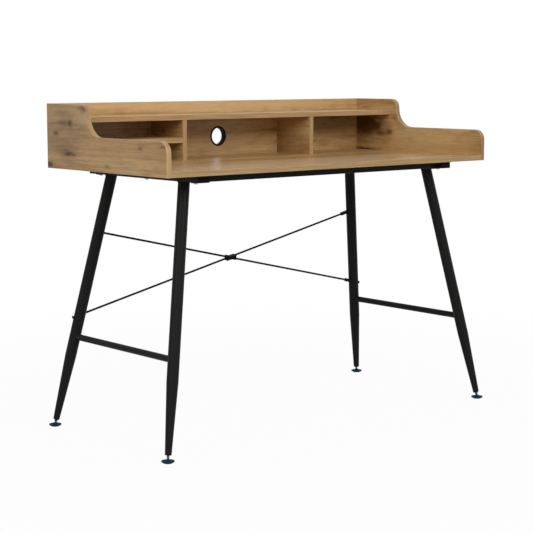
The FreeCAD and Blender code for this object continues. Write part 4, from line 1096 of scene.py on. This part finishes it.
def collar_flats(mesh, radius, top):
    """The tools that cut a foot screw's two flats up to a height, found by the gap in its round."""
    round_turns = sorted(
        math.atan2(vertex.co.y, vertex.co.x) for vertex in mesh.vertices if abs(vertex.co.z - top) < NEAR
    )
    pairs = zip(round_turns, round_turns[1:])
    gap, facing = max((second - first, (first + second) / 2) for first, second in pairs)
    half = radius * math.cos(gap / 2)
    tools = []
    for turn in (facing, facing + math.pi):
        tool = block((radius, 2 * radius, 2 * radius))
        out = Vector((half + radius / 2, 0, top - radius))
        tool.transform(Matrix.Rotation(turn, 4, "Z") @ Matrix.Translation(out))
        tools.append(tool)
    return tools


def screw_stem(corner, tree):
    """A foot screw: ball, neck and collar as the frame has them, and a shank that carries a rolled thread."""
    settings = bpy.context.scene.desk_feet
    joint = foot_joint(corner)
    up = -Vector(joint["axis"])
    home = Matrix.Translation(joint["pos_m"]) @ up.to_track_quat("Z", "Y").to_matrix().to_4x4()
    cad = frame["nodes"][corner + "_foot_stem"].data.copy()
    cad.transform(home.inverted())
    outline, thread_radius, thread_end, tip_radius, tip = screw_measures(cad)
    core = thread_radius - settings.thread_depth
    start = outline[-1][1]
    flats = collar_flats(cad, *outline.pop(-2))
    outline += [(core, start), (core, thread_end), (min(core, tip_radius), tip), (0, tip)]
    values = {
        "Core Radius": core,
        "Thread Depth": settings.thread_depth,
        "Pitch": settings.pitch,
        "Thread Start": start + settings.pitch / 2,
        "Thread Length": thread_end - start - settings.pitch,
        "Finish": finish(BLACK_ZINC),
    }
    made = grown(tree, worked(turned(outline, STEM_STEPS), 0, flats), values)
    made.transform(home)
    return made


class DESK_OT_boards(Operator):
    """Print the eight boards with oak decor, each with its own figure and knots, and painted shade and light
    on some.
    """

    bl_idname = "desk.boards"
    bl_label = "Oak Boards"

    def execute(self, context):
        for number, (board, (grain_turn, face_axis, knots_and_painted_shade, stains_and_painted_light)) in enumerate(BOARDS.items()):
            shift = [step * number for step in BOARD_STEP]
            wear(board, oak_laminate(board, grain_turn, face_axis, knots_and_painted_shade, stains_and_painted_light, shift))
        for dowels in ("back_panel_dowels", "divider_dowels", "bay_shelf_dowels"):
            wear(dowels, finish(BEECH))
        return {"FINISHED"}


class DESK_OT_board_fittings(Operator):
    """Set the cams and the socket screws that hold the boards."""

    bl_idname = "desk.board_fittings"
    bl_label = "Board Fittings"

    def execute(self, context):
        for node in ("worktop_cam_locks", "top_shelf_cam_locks"):
            boxes = solids(node)
            low, high = boxes[0]
            shape = cam_shape((high.y - low.y) / 2, high.z - low.z)
            name = node.replace("locks", "drums")
            fitted(name, node, shape, faces_of(boxes, 2, -1), finish(CAST_ZINC))
        for node, axis, side in (("back_panel_screws", 1, 1), ("divider_screws", 2, -1)):
            boxes = solids(node)
            low, high = boxes[0]
            shape = board_screw_shape((high.x - low.x) / 2, high[axis] - low[axis])
            name = node.replace("screws", "socket_screws")
            fitted(name, node, shape, faces_of(boxes, axis, side), finish(BRIGHT_ZINC))
        for node in ("worktop_cam_bolts", "top_shelf_cam_bolts", "worktop_threaded_inserts"):
            wear(node, finish(BRIGHT_ZINC))
        return {"FINISHED"}


class DESK_OT_frame_steel(Operator):
    """Coat the bars, rails, legs, stretchers and brace."""

    bl_idname = "desk.frame_steel"
    bl_label = "Coated Steel"

    def execute(self, context):
        for node, slot in cad_slots.items():
            if slot == "black_frame_steel":
                wear(node, finish(COAT))
        return {"FINISHED"}


class DESK_OT_weld_beads(Operator):
    """Lay the weld beads round the legs' tops and the stretchers' ends."""

    bl_idname = "desk.weld_beads"
    bl_label = "Weld Beads"

    def execute(self, context):
        settings = context.scene.desk_welds
        tree = bead_tree()
        values = {
            "Bead Radius": settings.bead,
            "Ripple Pitch": settings.ripple_pitch,
            "Ripple Share": settings.ripple_share,
            "Wander Share": settings.wander_share,
            "Seed": settings.seed,
            "Finish": finish(COAT),
        }
        for corner in CORNERS:
            side = corner.split("_")[1]
            rings = (leg_top_ring(corner, settings.bead), stretcher_ring(corner, side + "_stretcher"))
            piece(corner + "_leg_welds", grown(tree, rings_mesh(rings), values), corner + "_leg")
        return {"FINISHED"}


class DESK_OT_frame_bolts(Operator):
    """Drive the socket bolts that hold the frame to the worktop."""

    bl_idname = "desk.frame_bolts"
    bl_label = "Frame Bolts"

    def execute(self, context):
        boxes = solids("frame_bolts")
        low, high = boxes[0]
        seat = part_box("left_top_bar")[0].z
        shape = frame_bolt_shape((high.x - low.x) / 2, seat - low.z, high.z - seat)
        places = [(Vector((head.x, head.y, seat)), facing) for head, facing in faces_of(boxes, 2, -1)]
        fitted("frame_socket_bolts", "frame_bolts", shape, places, finish(BRIGHT_ZINC))
        return {"FINISHED"}


class DESK_OT_feet(Operator):
    """Make the threaded foot screws and finish the pads and the legs' end plugs."""

    bl_idname = "desk.feet"
    bl_label = "Screw Feet"

    def execute(self, context):
        tree = thread_tree()
        for corner in CORNERS:
            stem = corner + "_foot_stem"
            wear(corner + "_foot_pad", finish(TEAL_PLASTIC))
            wear(corner + "_leg_insert", finish(BLACK_PLASTIC))
            piece(stem + "_threaded", screw_stem(corner, tree), stem, replaced=(stem,))
        return {"FINISHED"}


class DESK_OT_moulded_parts(Operator):
    """Finish the cable outlet's liner, the bars' plugs and the brace's clamp."""

    bl_idname = "desk.moulded_parts"
    bl_label = "Moulded Parts"

    def execute(self, context):
        for node in ("cable_grommet", "bar_end_caps", "brace_cross_clamp"):
            wear(node, finish(BLACK_PLASTIC))
        return {"FINISHED"}


def soft_box(name, place, size, power):
    """A square studio light that faces the desk's top."""
    lamp = bpy.data.lights.new(name, "AREA")
    lamp.shape = "SQUARE"
    lamp.size = size
    lamp.energy = power
    light = scene_object(name, lamp)
    light.location = place
    light.rotation_euler = (Vector(LIT_POINT) - Vector(place)).to_track_quat("-Z", "Y").to_euler()


def seen_directly(tree):
    """One for rays that show the surroundings: from the camera, off gloss or through glass."""
    path = add(tree, "ShaderNodeLightPath")
    rays = {0: path.outputs["Is Camera Ray"], 1: path.outputs["Is Glossy Ray"]}
    gloss = add(tree, "ShaderNodeMath", rays, operation="ADD")
    all_rays = {0: gloss, 1: path.outputs["Is Transmission Ray"]}
    return add(tree, "ShaderNodeMath", all_rays, operation="ADD", use_clamp=True)


def pale_room(settings):
    """A room that is white where it is seen and dimmer where it only lights the desk."""
    room = bpy.data.worlds.new("pale_room")
    tree = empty_tree(room)
    span = {"Value": seen_directly(tree), "To Min": settings.surround, "To Max": 1.0}
    strength = add(tree, "ShaderNodeMapRange", span)
    walls = add(tree, "ShaderNodeBackground", {"Color": WHITE, "Strength": strength})
    add(tree, "ShaderNodeOutputWorld", {"Surface": walls})
    return room


def floor_mesh(settings):
    """A floor that keeps a faint shadow near the desk and otherwise runs into the white room."""
    material, tree, place = new_material("pale_studio_floor")
    matt = add(tree, "ShaderNodeBsdfDiffuse", {"Color": opaque(settings.floor)})
    white = add(tree, "ShaderNodeEmission", {"Color": WHITE, "Strength": 1.0})
    apart = add(tree, "ShaderNodeVectorMath", {0: place}, operation="LENGTH").outputs["Value"]
    fade = {"Value": apart, **FLOOR_FADE, "To Min": settings.floor_white, "To Max": 1.0}
    whiteness = add(tree, "ShaderNodeMapRange", fade, interpolation_type="SMOOTHSTEP")
    shares = {0: seen_directly(tree), 1: whiteness}
    lifted = add(tree, "ShaderNodeMath", shares, operation="MULTIPLY")
    both = add(tree, "ShaderNodeMixShader", {0: lifted, 1: matt, 2: white})
    add(tree, "ShaderNodeOutputMaterial", {"Surface": both})
    half = settings.floor_size / 2
    corners = [(-half, -half, 0), (half, -half, 0), (half, half, 0), (-half, half, 0)]
    mesh = bpy.data.meshes.new("floor")
    mesh.from_pydata(corners, [], [range(4)])
    mesh.materials.append(material)
    return mesh


def photo_camera(settings):
    """A camera where the photograph was taken from."""
    lens = bpy.data.cameras.new("photo_camera")
    lens.lens = settings.lens
    lens.clip_end = FARTHEST_SEEN
    camera = scene_object("photo_camera", lens)
    camera.matrix_world = (
        Matrix.Translation(settings.place)
        @ Matrix.Rotation(-settings.heading, 4, "Z")
        @ Matrix.Rotation(math.pi / 2 - settings.pitch, 4, "X")
        @ Matrix.Rotation(settings.roll, 4, "Z")
    )
    return camera


class DESK_OT_stage(Operator):
    """Set up the pale floor, the room, the soft lights and the camera."""

    bl_idname = "desk.stage"
    bl_label = "Studio"

    def execute(self, context):
        scene = context.scene
        settings = scene.desk_stage
        scene.view_settings.view_transform = "Standard"
        scene.world = pale_room(settings)
        mesh = floor_mesh(settings)
        scene_object("studio_floor", mesh)
        soft_box("key_light", KEY_PLACE, KEY_SIZE, settings.key)
        soft_box("fill_light", FILL_PLACE, FILL_SIZE, settings.fill)
        scene.camera = photo_camera(settings)
        return {"FINISHED"}


STEPS = (
    DESK_OT_boards,
    DESK_OT_board_fittings,
    DESK_OT_frame_steel,
    DESK_OT_weld_beads,
    DESK_OT_frame_bolts,
    DESK_OT_feet,
    DESK_OT_moulded_parts,
    DESK_OT_stage,
)
SETTINGS = {
    "desk_laminate": DeskLaminateSettings,
    "desk_fittings": DeskFittingSettings,
    "desk_welds": DeskWeldSettings,
    "desk_feet": DeskFootSettings,
    "desk_coats": DeskCoatSettings,
    "desk_stage": DeskStageSettings,
}


class DESK_PT_panel(Panel):
    """The desk's settings and the steps that make it."""

    bl_idname = "DESK_PT_panel"
    bl_label = "Office Desk"
    bl_space_type = "VIEW_3D"
    bl_region_type = "UI"
    bl_category = "Desk"

    def draw(self, context):
        for name, group in SETTINGS.items():
            box = self.layout.box()
            box.label(text=name.replace("_", " ").title())
            for setting in group.__annotations__:
                box.prop(getattr(context.scene, name), setting)
        for step in STEPS:
            self.layout.operator(step.bl_idname)


def register():
    """Add the settings, the steps and the panel."""
    for group in SETTINGS.values():
        bpy.utils.register_class(group)
    for name, group in SETTINGS.items():
        setattr(bpy.types.Scene, name, PointerProperty(type=group))
    for step in STEPS:
        bpy.utils.register_class(step)
    bpy.utils.register_class(DESK_PT_panel)


def unregister():
    """Take the panel, the steps and the settings away again."""
    bpy.utils.unregister_class(DESK_PT_panel)
    for step in reversed(STEPS):
        bpy.utils.unregister_class(step)
    for name, group in SETTINGS.items():
        delattr(bpy.types.Scene, name)
        bpy.utils.unregister_class(group)


def main():
    """Make the desk step by step."""
    register()
    bpy.ops.desk.boards()
    bpy.ops.desk.board_fittings()
    bpy.ops.desk.frame_steel()
    bpy.ops.desk.weld_beads()
    bpy.ops.desk.frame_bolts()
    bpy.ops.desk.feet()
    bpy.ops.desk.moulded_parts()
    bpy.ops.desk.stage()


if __name__ == "__main__":
    main()
